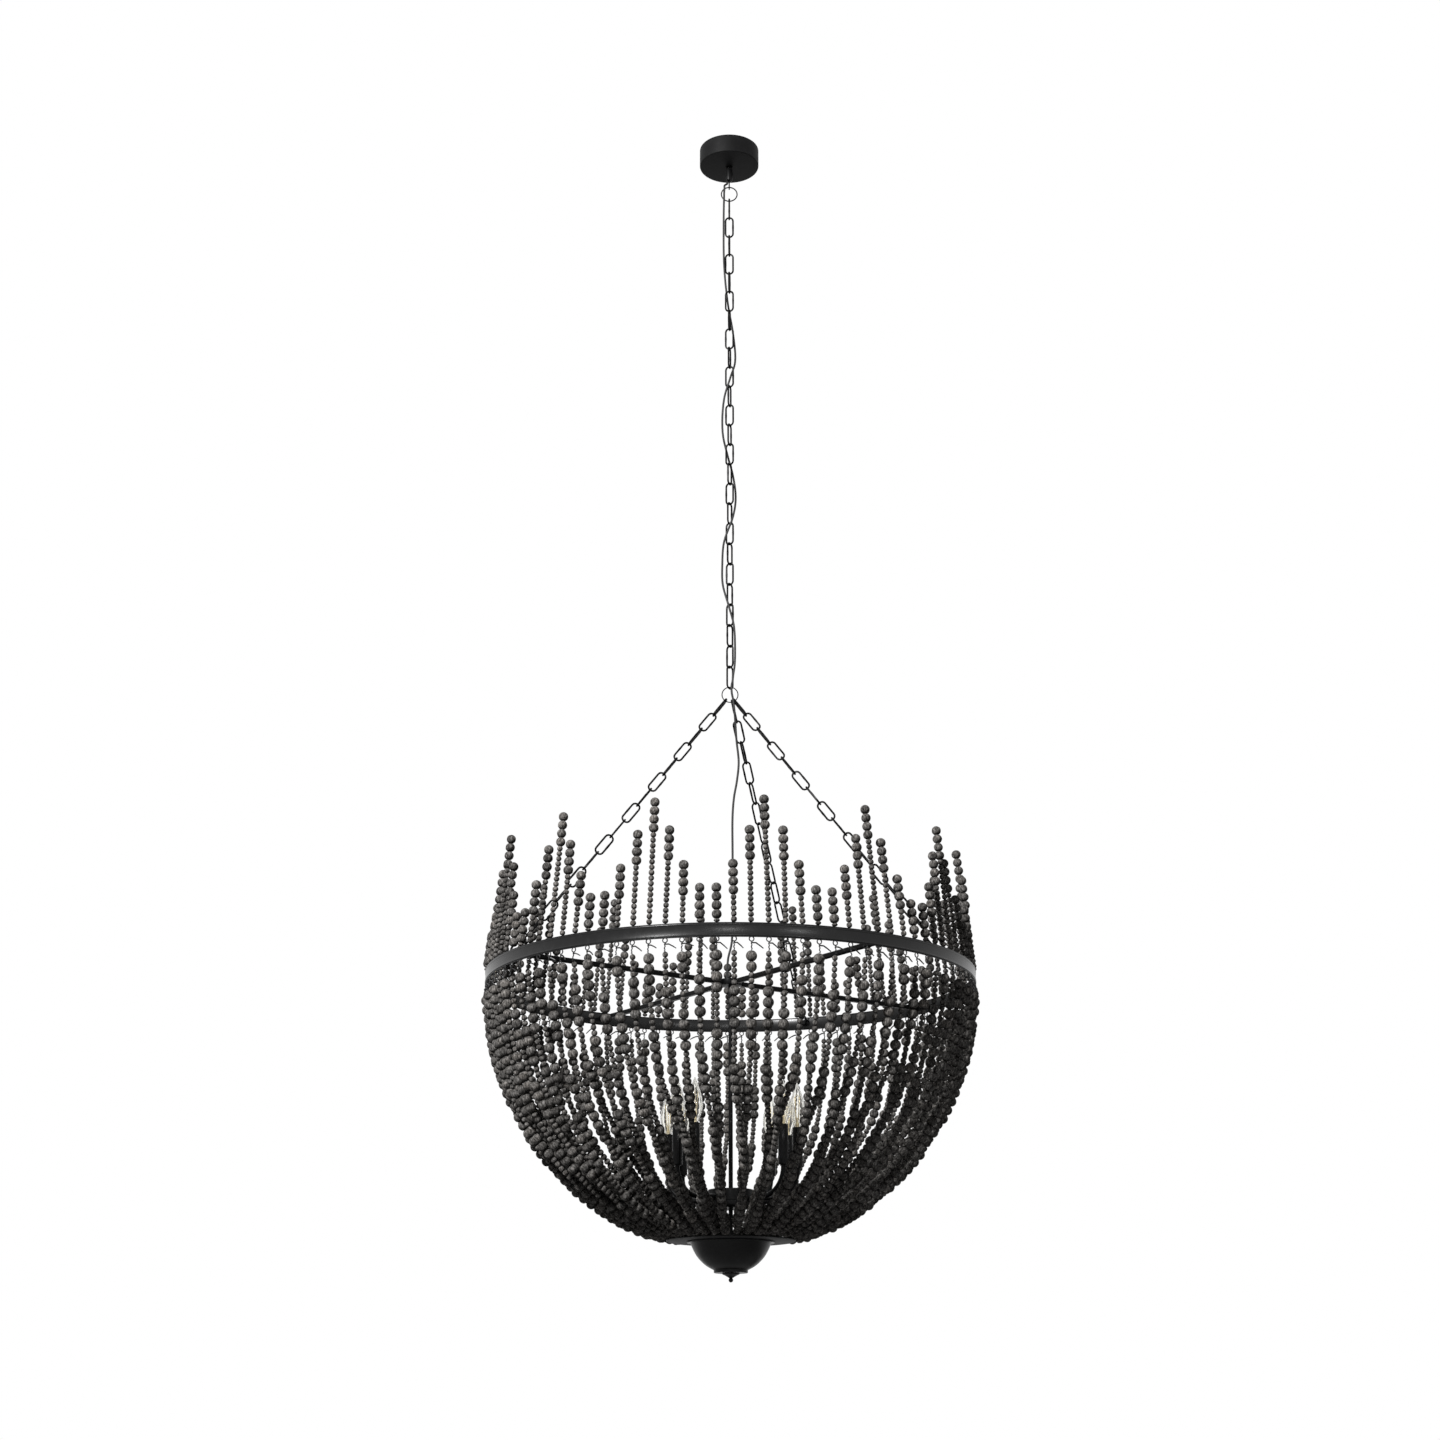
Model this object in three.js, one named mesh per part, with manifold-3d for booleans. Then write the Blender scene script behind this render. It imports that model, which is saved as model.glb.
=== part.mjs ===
// A beaded chandelier: a flat metal ring with a crown of bead strands and a bowl of hanging
// strands, carried by three leg chains, a long chain and a canopy, with candle lamps inside.
// Millimetres, +Z up. The origin is on the ceiling, at the middle of the bracket's top face.
// Angles round the light are counted from -Y towards +X.
import * as THREE from "three";
import { mergeVertices } from "three/addons/utils/BufferGeometryUtils.js";
import Module from "manifold-3d";

const wasm = await Module();
wasm.setup();

const degree = Math.PI / 180;
const fullTurn = 2 * Math.PI;

// Clearances
const fitGap = 0.3;
const linkPlay = 0.5;
const cordJointGap = 3;
const overrun = 1;

// Ceiling bracket, its screws and the terminal block
const strapEndGap = 8;
const strapWidth = 26;
const strapThickness = 2.5;
const collarDiameter = 18;
const collarHeight = 8;
const screwShank = 4;
const screwHead = 8;
const screwHeadHeight = 3;
const screwPlaceShare = 0.72;
const blockLength = 30;
const blockWidth = 14;
const blockHeight = 12;

// Canopy, threaded nipple, boss, hanger loop and cord grip
const canopyDiameter = 150;
const canopyHeight = 48;
const canopyWall = 1.6;
const canopyEdge = 2;
const nippleDiameter = 10;
const nippleBore = 6;
const nippleEngagement = 12;
const bossDiameter = 17;
const bossLength = 40;
const loopRadius = 9;
const loopWire = 3.4;
const loopStem = 5;
const loopSocket = 6;
const gripLength = 5;
const gripWall = 0.6;

// Rings and chains
const topRingRadius = 20;
const topRingWire = 3;
const junctionRadius = 18.75;
const junctionWire = 2.5;
const linkPitch = 52.5;
const linkWidth = 22;
const linkWire = 3.3;
const linkBite = 1;
const linkEndShare = 0.55;
const mainLinks = 25;
const mainTwist = 45 * degree;
const legLinks = 16;
const legAngles = [-61 * degree, 57 * degree, 160 * degree];
const settleRounds = 4;

// Main ring with its eyes, and the cross inside it
const ringDiameter = 1100;
const bandHeight = 25;
const bandThickness = 4;
const eyeRadius = 8;
const eyeWire = 4;
const eyeInset = 14;
const eyeRise = 8;
const eyeBlockWidth = 12;
const eyeBlockHeight = 10;
const barWidth = 12;
const barHeight = 10;
const crossTurn = 35 * degree;
const hubPlateDiameter = 50;
const hubPlateHeight = 14;

// Centre tube, lamp hub, arms, sleeves and bulbs
const tubeDiameter = 9.5;
const tubeBore = 6;
const lampHubDiameter = 100;
const lampHubHeight = 37;
const hubAbovePlate = 67;
const lampHubFoot = 3;
const lampHubFootInset = 4;
const lampHubEdge = 2;
const armDiameter = 10.6;
const armRiseFromFoot = 17;
const armBend = 60;
const lampCircleRadius = 155;
const sleeveDiameter = 22;
const sleeveHeight = 85;
const sleeveStand = 3;
const bulbCapDiameter = 14;
const bulbCapLength = 22;
const bulbDiameter = 35;
const bulbHeight = 98;
const lampAngles = [-48, -30, 46.5, 69.6, 124, 144, -136, -116].map((angle) => angle * degree);

// Strand plate, bottom cup and finial
const plateMargin = 23;
const plateThickness = 3;
const plateAboveBowl = 23;
const cupRimWidth = 7;
const cupRimHeight = 3;
const cupRadius = 88;
const cupDepth = 60;
const cupWall = 2;
const cupLipRadius = 37;
const cupLipHeight = 6;
// Down the cup from its rim to its lip: the share of the width left there, and of the depth done
const cupShares = [
  [1, 0],
  [0.88, 0.25],
  [0.7, 0.53],
  [0.36, 0.83],
  [0, 1],
];
const finialRadius = 19;
const finialHeight = 12;
const finialBall = 10;

// Bead strands: a crown that stands on the ring and a bowl that hangs under it
const periodCount = 14;
const periodStrands = 7;
const smallBead = 12;
const largeBead = 19.5;
const spineThickness = 5;
const spineHeight = 5;
const strandNeck = 7;
const crownStart = 7.85 * degree;
const crownLean = 6.4 * degree;
const crownHeights = [283, 215, 142, 89, 89, 142, 215];
const crownLargeBeads = 4;
const largePitch = 19;
const crownParts = 2;
const curtainParts = 7;
const bowlInset = 3;
const bowlDepth = 588;
const hangingWidth = 14;
const bundleStep = 18;
const bundlesPerPeriod = 3;
const bundleStart = 12.86 * degree;
const bowlEndRadius = 118;
const bowlEndWidth = 10;
const bowlTurnRadius = 190;
// For each strand of a period: the column it joins, and its place in it from the outside inwards
const columnOf = [0, 0, 0, 1, 1, 2, 2];
const placeInColumn = [1, 0, 2, 0, 1, 0, 1];
// Along the bowl from the ring to the turn at the bottom: the way done, then how much of the
// inward step and of the sideways step to its column a strand has made there
const bowlStationShares = [
  [0.06, 0, 0],
  [0.3, 0, 0],
  [0.55, 0.8, 0.33],
  [0.72, 1, 1],
  [1, 1, 1],
];

// Cord
const cordDiameter = 5;
const cordSides = 8;
const cordStep = 28;

// Facet counts
const bandFacets = 56;
const roundFacets = 20;
const smallFacets = 12;
const lampFacets = 10;
const wireSides = 6;
const linkSides = 3;
const arcSteps = 3;

// Materials
function finish(color, roughness, metalness) {
  return new THREE.MeshStandardMaterial({ color, roughness, metalness });
}
const blackGloss = finish(0x0c0c0d, 0.22, 0.3);
const blackSatin = finish(0x262626, 0.42, 0.4);
const darkIron = finish(0x2b2a29, 0.48, 0.75);
const darkWood = finish(0x4a4744, 0.8, 0);
const clearGlass = finish(0xf3e7c9, 0.06, 0);
const blackSleeve = finish(0x151515, 0.3, 0.1);
const cordSkin = finish(0x1c1b1a, 0.75, 0);
const zincSteel = finish(0x9a9b9c, 0.4, 0.9);
const whitePlastic = finish(0xd9d8d2, 0.5, 0);

const chandelier = new THREE.Group();

function place(name, geometry, material) {
  const mesh = new THREE.Mesh(geometry, material);
  mesh.name = name;
  chandelier.add(mesh);
  return mesh;
}

// Point on a circle round the vertical axis
function polar(radius, angle, z) {
  return new THREE.Vector3(radius * Math.sin(angle), -radius * Math.cos(angle), z);
}

// Direction along the circle, towards larger angles
function along(angle) {
  return new THREE.Vector3(Math.cos(angle), Math.sin(angle), 0);
}

// Joining and cutting
function solidOf(geometry) {
  const flat = geometry.index ? geometry.toNonIndexed() : geometry.clone();
  flat.deleteAttribute("normal");
  flat.deleteAttribute("uv");
  const merged = mergeVertices(flat);
  return new wasm.Manifold(
    new wasm.Mesh({
      numProp: 3,
      vertProperties: merged.attributes.position.array,
      triVerts: new Uint32Array(merged.index.array),
    }),
  );
}

function geometryOf(solid) {
  const mesh = solid.getMesh();
  const geometry = new THREE.BufferGeometry();
  geometry.setAttribute("position", new THREE.BufferAttribute(mesh.vertProperties, 3));
  geometry.setIndex(new THREE.BufferAttribute(mesh.triVerts, 1));
  return geometry;
}

function joined(...geometries) {
  return geometryOf(geometries.map(solidOf).reduce((whole, piece) => whole.add(piece)));
}

function cut(geometry, ...tools) {
  return geometryOf(tools.map(solidOf).reduce((rest, tool) => rest.subtract(tool), solidOf(geometry)));
}

// Simple shapes, all upright along Z
function lathe(outline, facets, turn = 0) {
  const points = outline.map(([radius, z]) => new THREE.Vector2(radius, z));
  const geometry = new THREE.LatheGeometry(points, facets);
  geometry.rotateX(fullTurn / 4);
  return geometry.rotateZ(turn);
}

function rod(diameter, low, high, facets) {
  const radius = diameter / 2;
  return lathe([[0, low], [radius, low], [radius, high], [0, high]], facets);
}

function pipe(outside, bore, low, high, facets) {
  const outer = outside / 2;
  const inner = bore / 2;
  return lathe([[inner, low], [outer, low], [outer, high], [inner, high], [inner, low]], facets);
}

function block(length, width, height, low) {
  return new THREE.BoxGeometry(length, width, height).translate(0, 0, low + height / 2);
}

// Ring of wire that stands upright in the XZ plane
function uprightRing(radius, wire, facets) {
  return new THREE.TorusGeometry(radius, wire / 2, wireSides, facets).rotateX(fullTurn / 4);
}

function tubeAlong(points, diameter, sides, steps) {
  const section = new THREE.Shape();
  for (let side = 0; side < sides; side += 1) {
    const angle = (fullTurn * side) / sides;
    const x = (diameter / 2) * Math.cos(angle);
    const y = (diameter / 2) * Math.sin(angle);
    if (side) section.lineTo(x, y);
    else section.moveTo(x, y);
  }
  section.closePath();
  const extrudePath = new THREE.CatmullRomCurve3(points);
  return new THREE.ExtrudeGeometry(section, { steps, extrudePath, bevelEnabled: false });
}

// Triangles gathered face by face, then welded where their corners meet
class Skin {
  constructor(flipped = false) {
    this.flipped = flipped;
    this.places = [];
  }

  triangle(a, b, c) {
    const corners = this.flipped ? [a, c, b] : [a, b, c];
    for (const corner of corners) this.places.push(corner.x, corner.y, corner.z);
  }

  quad(a, b, c, d) {
    this.triangle(a, b, c);
    this.triangle(a, c, d);
  }

  geometry() {
    const geometry = new THREE.BufferGeometry();
    geometry.setAttribute("position", new THREE.Float32BufferAttribute(this.places, 3));
    return mergeVertices(geometry);
  }
}

// Ceiling bracket: a strap with a welded collar, held by two screws
const canopyRadius = canopyDiameter / 2;
const strapLength = canopyDiameter - 2 * canopyWall - 2 * strapEndGap;
const screwPlace = (strapLength / 2) * screwPlaceShare;
const strapBottom = -strapThickness;
const collarBottom = strapBottom - collarHeight;
const nippleHole = nippleDiameter + 2 * fitGap;

function screwHoles() {
  return [-screwPlace, screwPlace].map((x) =>
    rod(screwShank + 2 * fitGap, strapBottom - overrun, overrun, smallFacets).translate(x, 0, 0),
  );
}

const strap = cut(block(strapLength, strapWidth, strapThickness, strapBottom), ...screwHoles());
const collar = pipe(collarDiameter, nippleHole, collarBottom, strapBottom + fitGap, smallFacets);
place("ceiling_bracket", joined(strap, collar), zincSteel);

[-screwPlace, screwPlace].forEach((x, index) => {
  const headTop = strapBottom - fitGap;
  const headBottom = headTop - screwHeadHeight;
  const outline = [
    [0, headBottom],
    [screwHead / 2, headBottom],
    [screwHead / 2, headTop],
    [screwShank / 2, headTop],
    [screwShank / 2, 0],
    [0, 0],
  ];
  place(`bracket_screw_${index + 1}`, lathe(outline, smallFacets), zincSteel).position.x = x;
});

const blockPlace = (collarDiameter / 2 + screwPlace - screwHead / 2) / 2;
place(
  "terminal_block",
  block(blockWidth, blockLength, blockHeight, strapBottom - fitGap - blockHeight),
  whitePlastic,
).position.x = blockPlace;

// Canopy: a shallow drum, open at the ceiling, that hangs on the boss round the nipple
const canopyBottom = -canopyHeight;
const canopyFloor = canopyBottom + canopyWall;
const canopyInside = canopyRadius - canopyWall;
place(
  "canopy",
  lathe(
    [
      [nippleHole / 2, canopyBottom],
      [canopyRadius - canopyEdge, canopyBottom],
      [canopyRadius, canopyBottom + canopyEdge],
      [canopyRadius, 0],
      [canopyInside, 0],
      [canopyInside, canopyFloor + canopyEdge],
      [canopyInside - canopyEdge, canopyFloor],
      [nippleHole / 2, canopyFloor],
      [nippleHole / 2, canopyBottom],
    ],
    3 * smallFacets,
  ),
  blackSatin,
);

// Boss under the canopy, screwed on the nipple, with the hanger loop in its lower end
const bossTop = canopyBottom - fitGap;
const bossBottom = bossTop - bossLength;
const nippleEnd = bossTop - nippleEngagement;
const socketTop = bossBottom + loopSocket;
place(
  "nipple",
  pipe(nippleDiameter, nippleBore, nippleEnd + fitGap, strapBottom - fitGap, smallFacets),
  zincSteel,
);
place(
  "hanger_boss",
  lathe(
    [
      [0, nippleEnd],
      [0, socketTop],
      [loopWire / 2 + fitGap, socketTop],
      [loopWire / 2 + fitGap, bossBottom],
      [bossDiameter / 2, bossBottom],
      [bossDiameter / 2, bossTop],
      [nippleHole / 2, bossTop],
      [nippleHole / 2, nippleEnd],
      [0, nippleEnd],
    ],
    smallFacets,
  ),
  blackGloss,
);

const loopCentre = bossBottom - loopStem - loopRadius;
const loopBottomWire = loopCentre - loopRadius;
place(
  "hanger_loop",
  joined(
    uprightRing(loopRadius, loopWire, smallFacets + wireSides)
      .rotateZ(fullTurn / 4)
      .translate(0, 0, loopCentre),
    rod(loopWire, loopCentre + loopRadius, socketTop - fitGap, wireSides),
  ),
  blackGloss,
);

const gripDiameter = cordDiameter + 2 * gripWall;
const gripPlace = -(loopWire / 2 + fitGap + gripDiameter / 2);
const gripBottom = bossBottom - fitGap - gripLength;
place("cord_grip", rod(gripDiameter, gripBottom, bossBottom - fitGap, smallFacets), blackGloss)
  .position.x = gripPlace;

// Top ring, hung in the hanger loop: it swings about the loop's lowest wire
const topRingCentre = loopBottomWire + (loopWire + topRingWire) / 2 + linkPlay - topRingRadius;
const topRingBottomWire = topRingCentre - topRingRadius;
place("top_ring", uprightRing(topRingRadius, topRingWire, roundFacets), darkIron)
  .position.z = topRingCentre;

// One chain link in its own frame: long along Z, wide along X, its wire round Y
function linkGeometry(pitch) {
  const halfLength = (pitch + linkWire - linkBite) / 2;
  const halfWidth = (linkWidth - linkWire) / 2;
  const halfEnd = halfWidth * linkEndShare;
  const centres = [
    [halfEnd, halfLength],
    [halfWidth, 0],
    [halfEnd, -halfLength],
    [-halfEnd, -halfLength],
    [-halfWidth, 0],
    [-halfEnd, halfLength],
  ].map(([x, z]) => new THREE.Vector3(x, 0, z));
  const radius = linkWire / 2;
  const sections = centres.map((centre, index) => {
    const before = centres.at(index - 1);
    const after = centres[(index + 1) % centres.length];
    const incoming = centre.clone().sub(before).normalize();
    const outgoing = after.clone().sub(centre).normalize();
    const heading = incoming.clone().add(outgoing).normalize();
    const outward = new THREE.Vector3(-heading.z, 0, heading.x);
    outward.multiplyScalar(radius / heading.dot(incoming));
    return Array.from({ length: linkSides }, (_, spot) => {
      const turn = fullTurn / 2 + (fullTurn * spot) / linkSides;
      const corner = centre.clone().addScaledVector(outward, Math.cos(turn));
      corner.y = radius * Math.sin(turn);
      return corner;
    });
  });
  const skin = new Skin();
  sections.forEach((section, index) => {
    const next = sections[(index + 1) % sections.length];
    section.forEach((corner, spot) => {
      const neighbour = (spot + 1) % section.length;
      skin.quad(corner, next[spot], next[neighbour], section[neighbour]);
    });
  });
  return skin.geometry();
}

// A taut chain from the middle of its first end wire: each link is turned a quarter from the last,
// and neighbours are fused where they bear on each other
function chainGeometry(start, heading, firstNormal, count, pitch, twist) {
  const firstCentre = (pitch + linkWire - linkBite) / 2;
  const up = heading.clone().negate();
  const links = [];
  for (let index = 0; index < count; index += 1) {
    const turn = index * (fullTurn / 4) + (twist * index) / (count - 1);
    const normal = firstNormal.clone().applyAxisAngle(heading, turn);
    const across = new THREE.Vector3().crossVectors(normal, up);
    const centre = start.clone().addScaledVector(heading, firstCentre + index * pitch);
    const frame = new THREE.Matrix4().makeBasis(across, normal, up).setPosition(centre);
    links.push(linkGeometry(pitch).applyMatrix4(frame));
  }
  return joined(...links);
}

// Main chain: its first link hangs edge-on in the top ring
const down = new THREE.Vector3(0, 0, -1);
const chainTop = topRingBottomWire + (topRingWire + linkWire) / 2 + linkPlay;
const chainLength = mainLinks * linkPitch + linkWire - linkBite;
const chainBottom = chainTop - chainLength;
place(
  "main_chain",
  chainGeometry(
    new THREE.Vector3(0, 0, chainTop),
    down,
    new THREE.Vector3(1, 0, 0),
    mainLinks,
    linkPitch,
    mainTwist,
  ),
  darkIron,
);

// Junction ring, hung in the last link of the main chain
const junctionCentre = chainBottom + (linkWire + junctionWire) / 2 + linkPlay - junctionRadius;
place("junction_ring", uprightRing(junctionRadius, junctionWire, roundFacets), darkIron)
  .position.z = junctionCentre;

// Height of the ring: the legs have a set length and slant out to the eyes
const ringRadius = ringDiameter / 2;
const bandInside = ringRadius - bandThickness;
const eyePlace = bandInside - eyeInset;
const legWires = (junctionWire + eyeWire) / 2 + linkWire + 2 * linkPlay;
const legSpan = legLinks * linkPitch + linkWire - linkBite - legWires;
const legDrop = Math.sqrt(legSpan ** 2 - (eyePlace - junctionRadius / 2) ** 2);
const eyeTopWire = junctionCentre - junctionRadius - legDrop;
const ringHeight = eyeTopWire - eyeRise - eyeRadius;
const bandTop = ringHeight + bandHeight / 2;
const bandBottom = ringHeight - bandHeight / 2;

// Leg chains: each hangs where the junction ring's wire lies square to it
legAngles.forEach((angle, index) => {
  const eye = polar(eyePlace, angle, eyeTopWire);
  const centre = new THREE.Vector3(0, 0, junctionCentre);
  const hang = new THREE.Vector3();
  const heading = eye.clone().sub(centre).normalize();
  for (let round = 0; round < settleRounds; round += 1) {
    const swing = Math.atan2(heading.x, -heading.z);
    hang.set(junctionRadius * Math.sin(swing), 0, -junctionRadius * Math.cos(swing)).add(centre);
    heading.copy(eye).sub(hang).normalize();
  }
  const swing = Math.atan2(heading.x, -heading.z);
  const firstNormal = new THREE.Vector3(Math.cos(swing), 0, Math.sin(swing));
  firstNormal.addScaledVector(heading, -firstNormal.dot(heading)).normalize();
  const start = hang.clone().addScaledVector(heading, -(junctionWire + linkWire) / 2 - linkPlay);
  const end = eye.clone().addScaledVector(heading, (eyeWire + linkWire) / 2 + linkPlay);
  const pitch = (start.distanceTo(end) - linkWire + linkBite) / legLinks;
  const lastNormal = along(angle);
  const turned = Math.atan2(
    new THREE.Vector3().crossVectors(firstNormal, lastNormal).dot(heading),
    firstNormal.dot(lastNormal),
  );
  const halfTurn = fullTurn / 2;
  const quarters = (legLinks - 1) * (fullTurn / 4);
  const left = (turned - quarters) % halfTurn;
  const twist = left - halfTurn * Math.round(left / halfTurn);
  place(
    `leg_chain_${index + 1}`,
    chainGeometry(start, heading, firstNormal, legLinks, pitch, twist),
    darkIron,
  );
});

// Main ring: a flat band with three welded eyes inside it, facets square to the cross bars
const bandTurn = crossTurn - fullTurn / 4 + fullTurn / bandFacets / 2;

function eyeGeometry(angle) {
  const eye = uprightRing(eyeRadius, eyeWire, smallFacets);
  eye.translate(0, -eyePlace, eyeTopWire - eyeRadius);
  const reach = eyeInset + bandThickness / 2 + eyeWire / 2;
  const foot = block(eyeBlockWidth, reach, eyeBlockHeight, ringHeight - eyeBlockHeight / 2);
  foot.translate(0, -eyePlace + eyeWire / 2 - reach / 2, 0);
  return joined(eye, foot).rotateZ(angle);
}

place(
  "main_ring",
  joined(
    lathe(
      [
        [bandInside, bandBottom],
        [ringRadius, bandBottom],
        [ringRadius, bandTop],
        [bandInside, bandTop],
        [bandInside, bandBottom],
      ],
      bandFacets,
      bandTurn,
    ),
    ...legAngles.map(eyeGeometry),
  ),
  darkIron,
);

// Cross: two bars from side to side of the band, with a round hub plate in the middle
const flatRadius = bandInside * Math.cos(fullTurn / bandFacets / 2);
const barLength = 2 * (flatRadius - fitGap);
const barLow = ringHeight - barHeight / 2;
const hubPlateLow = ringHeight - hubPlateHeight / 2;
place(
  "cross_frame",
  joined(
    block(barLength, barWidth, barHeight, barLow),
    block(barWidth, barLength, barHeight, barLow),
    rod(hubPlateDiameter, hubPlateLow, hubPlateLow + hubPlateHeight, roundFacets),
  ).rotateZ(crossTurn),
  darkIron,
);

// Centre tube: from the hub plate down through the lamp hub, the strand plate and the cup
const plateTop = ringHeight - bowlDepth + plateAboveBowl;
const plateRadius = bowlEndRadius + plateMargin;
const plateBottom = plateTop - plateThickness;
const cupTop = plateBottom - fitGap;
const cupBottom = cupTop - cupDepth;
const lipBottom = cupBottom - cupLipHeight;
const finialTop = lipBottom - fitGap;
const finialSocket = finialHeight / 2;
const tubeTop = hubPlateLow - fitGap;
const tubeBottom = finialTop - finialSocket + fitGap;
const tubeHole = tubeDiameter + 2 * fitGap;
place("centre_tube", pipe(tubeDiameter, tubeBore, tubeBottom, tubeTop, smallFacets), darkIron);

// Lamp hub: a drum on the centre tube, with a smaller foot under it
const lampHubFootBottom = plateTop + hubAbovePlate;
const lampHubBottom = lampHubFootBottom + lampHubFoot;
const lampHubTop = lampHubBottom + lampHubHeight;
const lampHubRadius = lampHubDiameter / 2;
place(
  "lamp_hub",
  lathe(
    [
      [tubeHole / 2, lampHubFootBottom],
      [lampHubRadius - lampHubFootInset, lampHubFootBottom],
      [lampHubRadius - lampHubFootInset, lampHubBottom],
      [lampHubRadius, lampHubBottom],
      [lampHubRadius, lampHubTop - lampHubEdge],
      [lampHubRadius - lampHubEdge, lampHubTop],
      [tubeHole / 2, lampHubTop],
      [tubeHole / 2, lampHubFootBottom],
    ],
    roundFacets,
  ),
  blackGloss,
);

// Lamps: a bent arm from the hub, a candle sleeve with its holder, and a candle bulb
const armHeight = lampHubBottom + armRiseFromFoot;
const sleeveBottom = armHeight + armBend + sleeveStand;
const sleeveTop = sleeveBottom + sleeveHeight;
const capRoom = bulbCapDiameter / 2 + fitGap;
const holderTop = sleeveTop - bulbCapLength;

function armGeometry() {
  const bendStart = lampCircleRadius - armBend;
  const points = [new THREE.Vector3(0, -(lampHubRadius + fitGap), armHeight)];
  const quarter = fullTurn / 4;
  for (let step = 0; step <= arcSteps; step += 1) {
    const bend = (quarter * step) / arcSteps;
    const reach = bendStart + armBend * Math.sin(bend);
    points.push(new THREE.Vector3(0, -reach, armHeight + armBend * (1 - Math.cos(bend))));
  }
  points.push(new THREE.Vector3(0, -lampCircleRadius, sleeveBottom - fitGap));
  return tubeAlong(points, armDiameter, wireSides, points.length);
}

function sleeveGeometry() {
  return lathe(
    [
      [0, sleeveBottom],
      [sleeveDiameter / 2, sleeveBottom],
      [sleeveDiameter / 2, sleeveTop],
      [capRoom, sleeveTop],
      [capRoom, holderTop],
      [0, holderTop],
    ],
    lampFacets,
  );
}

// A candle bulb: screw cap, narrow neck, full belly and a drawn-out tip
function bulbGeometry() {
  const low = holderTop + fitGap;
  const neck = sleeveTop + fitGap;
  const belly = bulbDiameter / 2;
  const capRadius = bulbCapDiameter / 2;
  const glassShares = [
    [0.6, 0.09],
    [1, 0.34],
    [0.86, 0.58],
    [0.34, 0.86],
  ];
  const outline = glassShares.map(([wide, high]) => [belly * wide, neck + bulbHeight * high]);
  const cap = [[0, low], [capRadius, low], [capRadius, neck]];
  return lathe([...cap, ...outline, [0, neck + bulbHeight]], lampFacets);
}

lampAngles.forEach((angle, index) => {
  const lamp = index + 1;
  place(`lamp_arm_${lamp}`, armGeometry(), darkIron).rotation.z = angle;
  const spot = polar(lampCircleRadius, angle, 0);
  place(`candle_sleeve_${lamp}`, sleeveGeometry(), blackSleeve).position.copy(spot);
  place(`bulb_${lamp}`, bulbGeometry(), clearGlass).position.copy(spot);
});

// Strand plate, cup and finial, threaded on the tube
place(
  "strand_plate",
  pipe(2 * plateRadius, tubeHole, plateBottom, plateTop, 3 * smallFacets),
  darkIron,
);

const cupRimRadius = cupRadius + cupRimWidth;

function cupSide(shift) {
  return cupShares.map(([wide, deep]) => [
    cupLipRadius + (cupRadius - cupLipRadius) * wide - shift,
    cupTop - cupRimHeight - (cupDepth - cupRimHeight - shift) * deep,
  ]);
}

place(
  "bottom_cup",
  lathe(
    [
      [tubeHole / 2, lipBottom],
      [cupLipRadius, lipBottom],
      ...cupSide(0).reverse(),
      [cupRimRadius, cupTop - cupRimHeight],
      [cupRimRadius, cupTop],
      [cupRadius - cupWall, cupTop],
      ...cupSide(cupWall),
      [tubeHole / 2, cupBottom + cupWall],
      [tubeHole / 2, lipBottom],
    ],
    roundFacets,
  ),
  blackGloss,
);

const ballRadius = finialBall / 2;
const coneBottom = finialTop - finialHeight;
const ballCentre = coneBottom - ballRadius / 2;
const ballOutline = [[0, ballCentre - ballRadius]];
for (let step = 1; step <= arcSteps; step += 1) {
  const dip = (fullTurn / 4) * (1 - step / (arcSteps - 1));
  ballOutline.push([ballRadius * Math.cos(dip), ballCentre - ballRadius * Math.sin(dip)]);
}
place(
  "finial",
  lathe(
    [
      ...ballOutline,
      [finialRadius, finialTop - finialSocket / 2],
      [finialRadius, finialTop],
      [tubeHole / 2, finialTop],
      [tubeHole / 2, finialTop - finialSocket],
      [0, finialTop - finialSocket],
    ],
    smallFacets,
  ),
  blackGloss,
);

// A comb of strands on a spine: the spine is an arc of square wire along the band's edge, and each
// strand grows out of its near face, so that the whole sector is one closed skin
const spineMiddle = ringRadius - bandThickness / 2;

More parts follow.
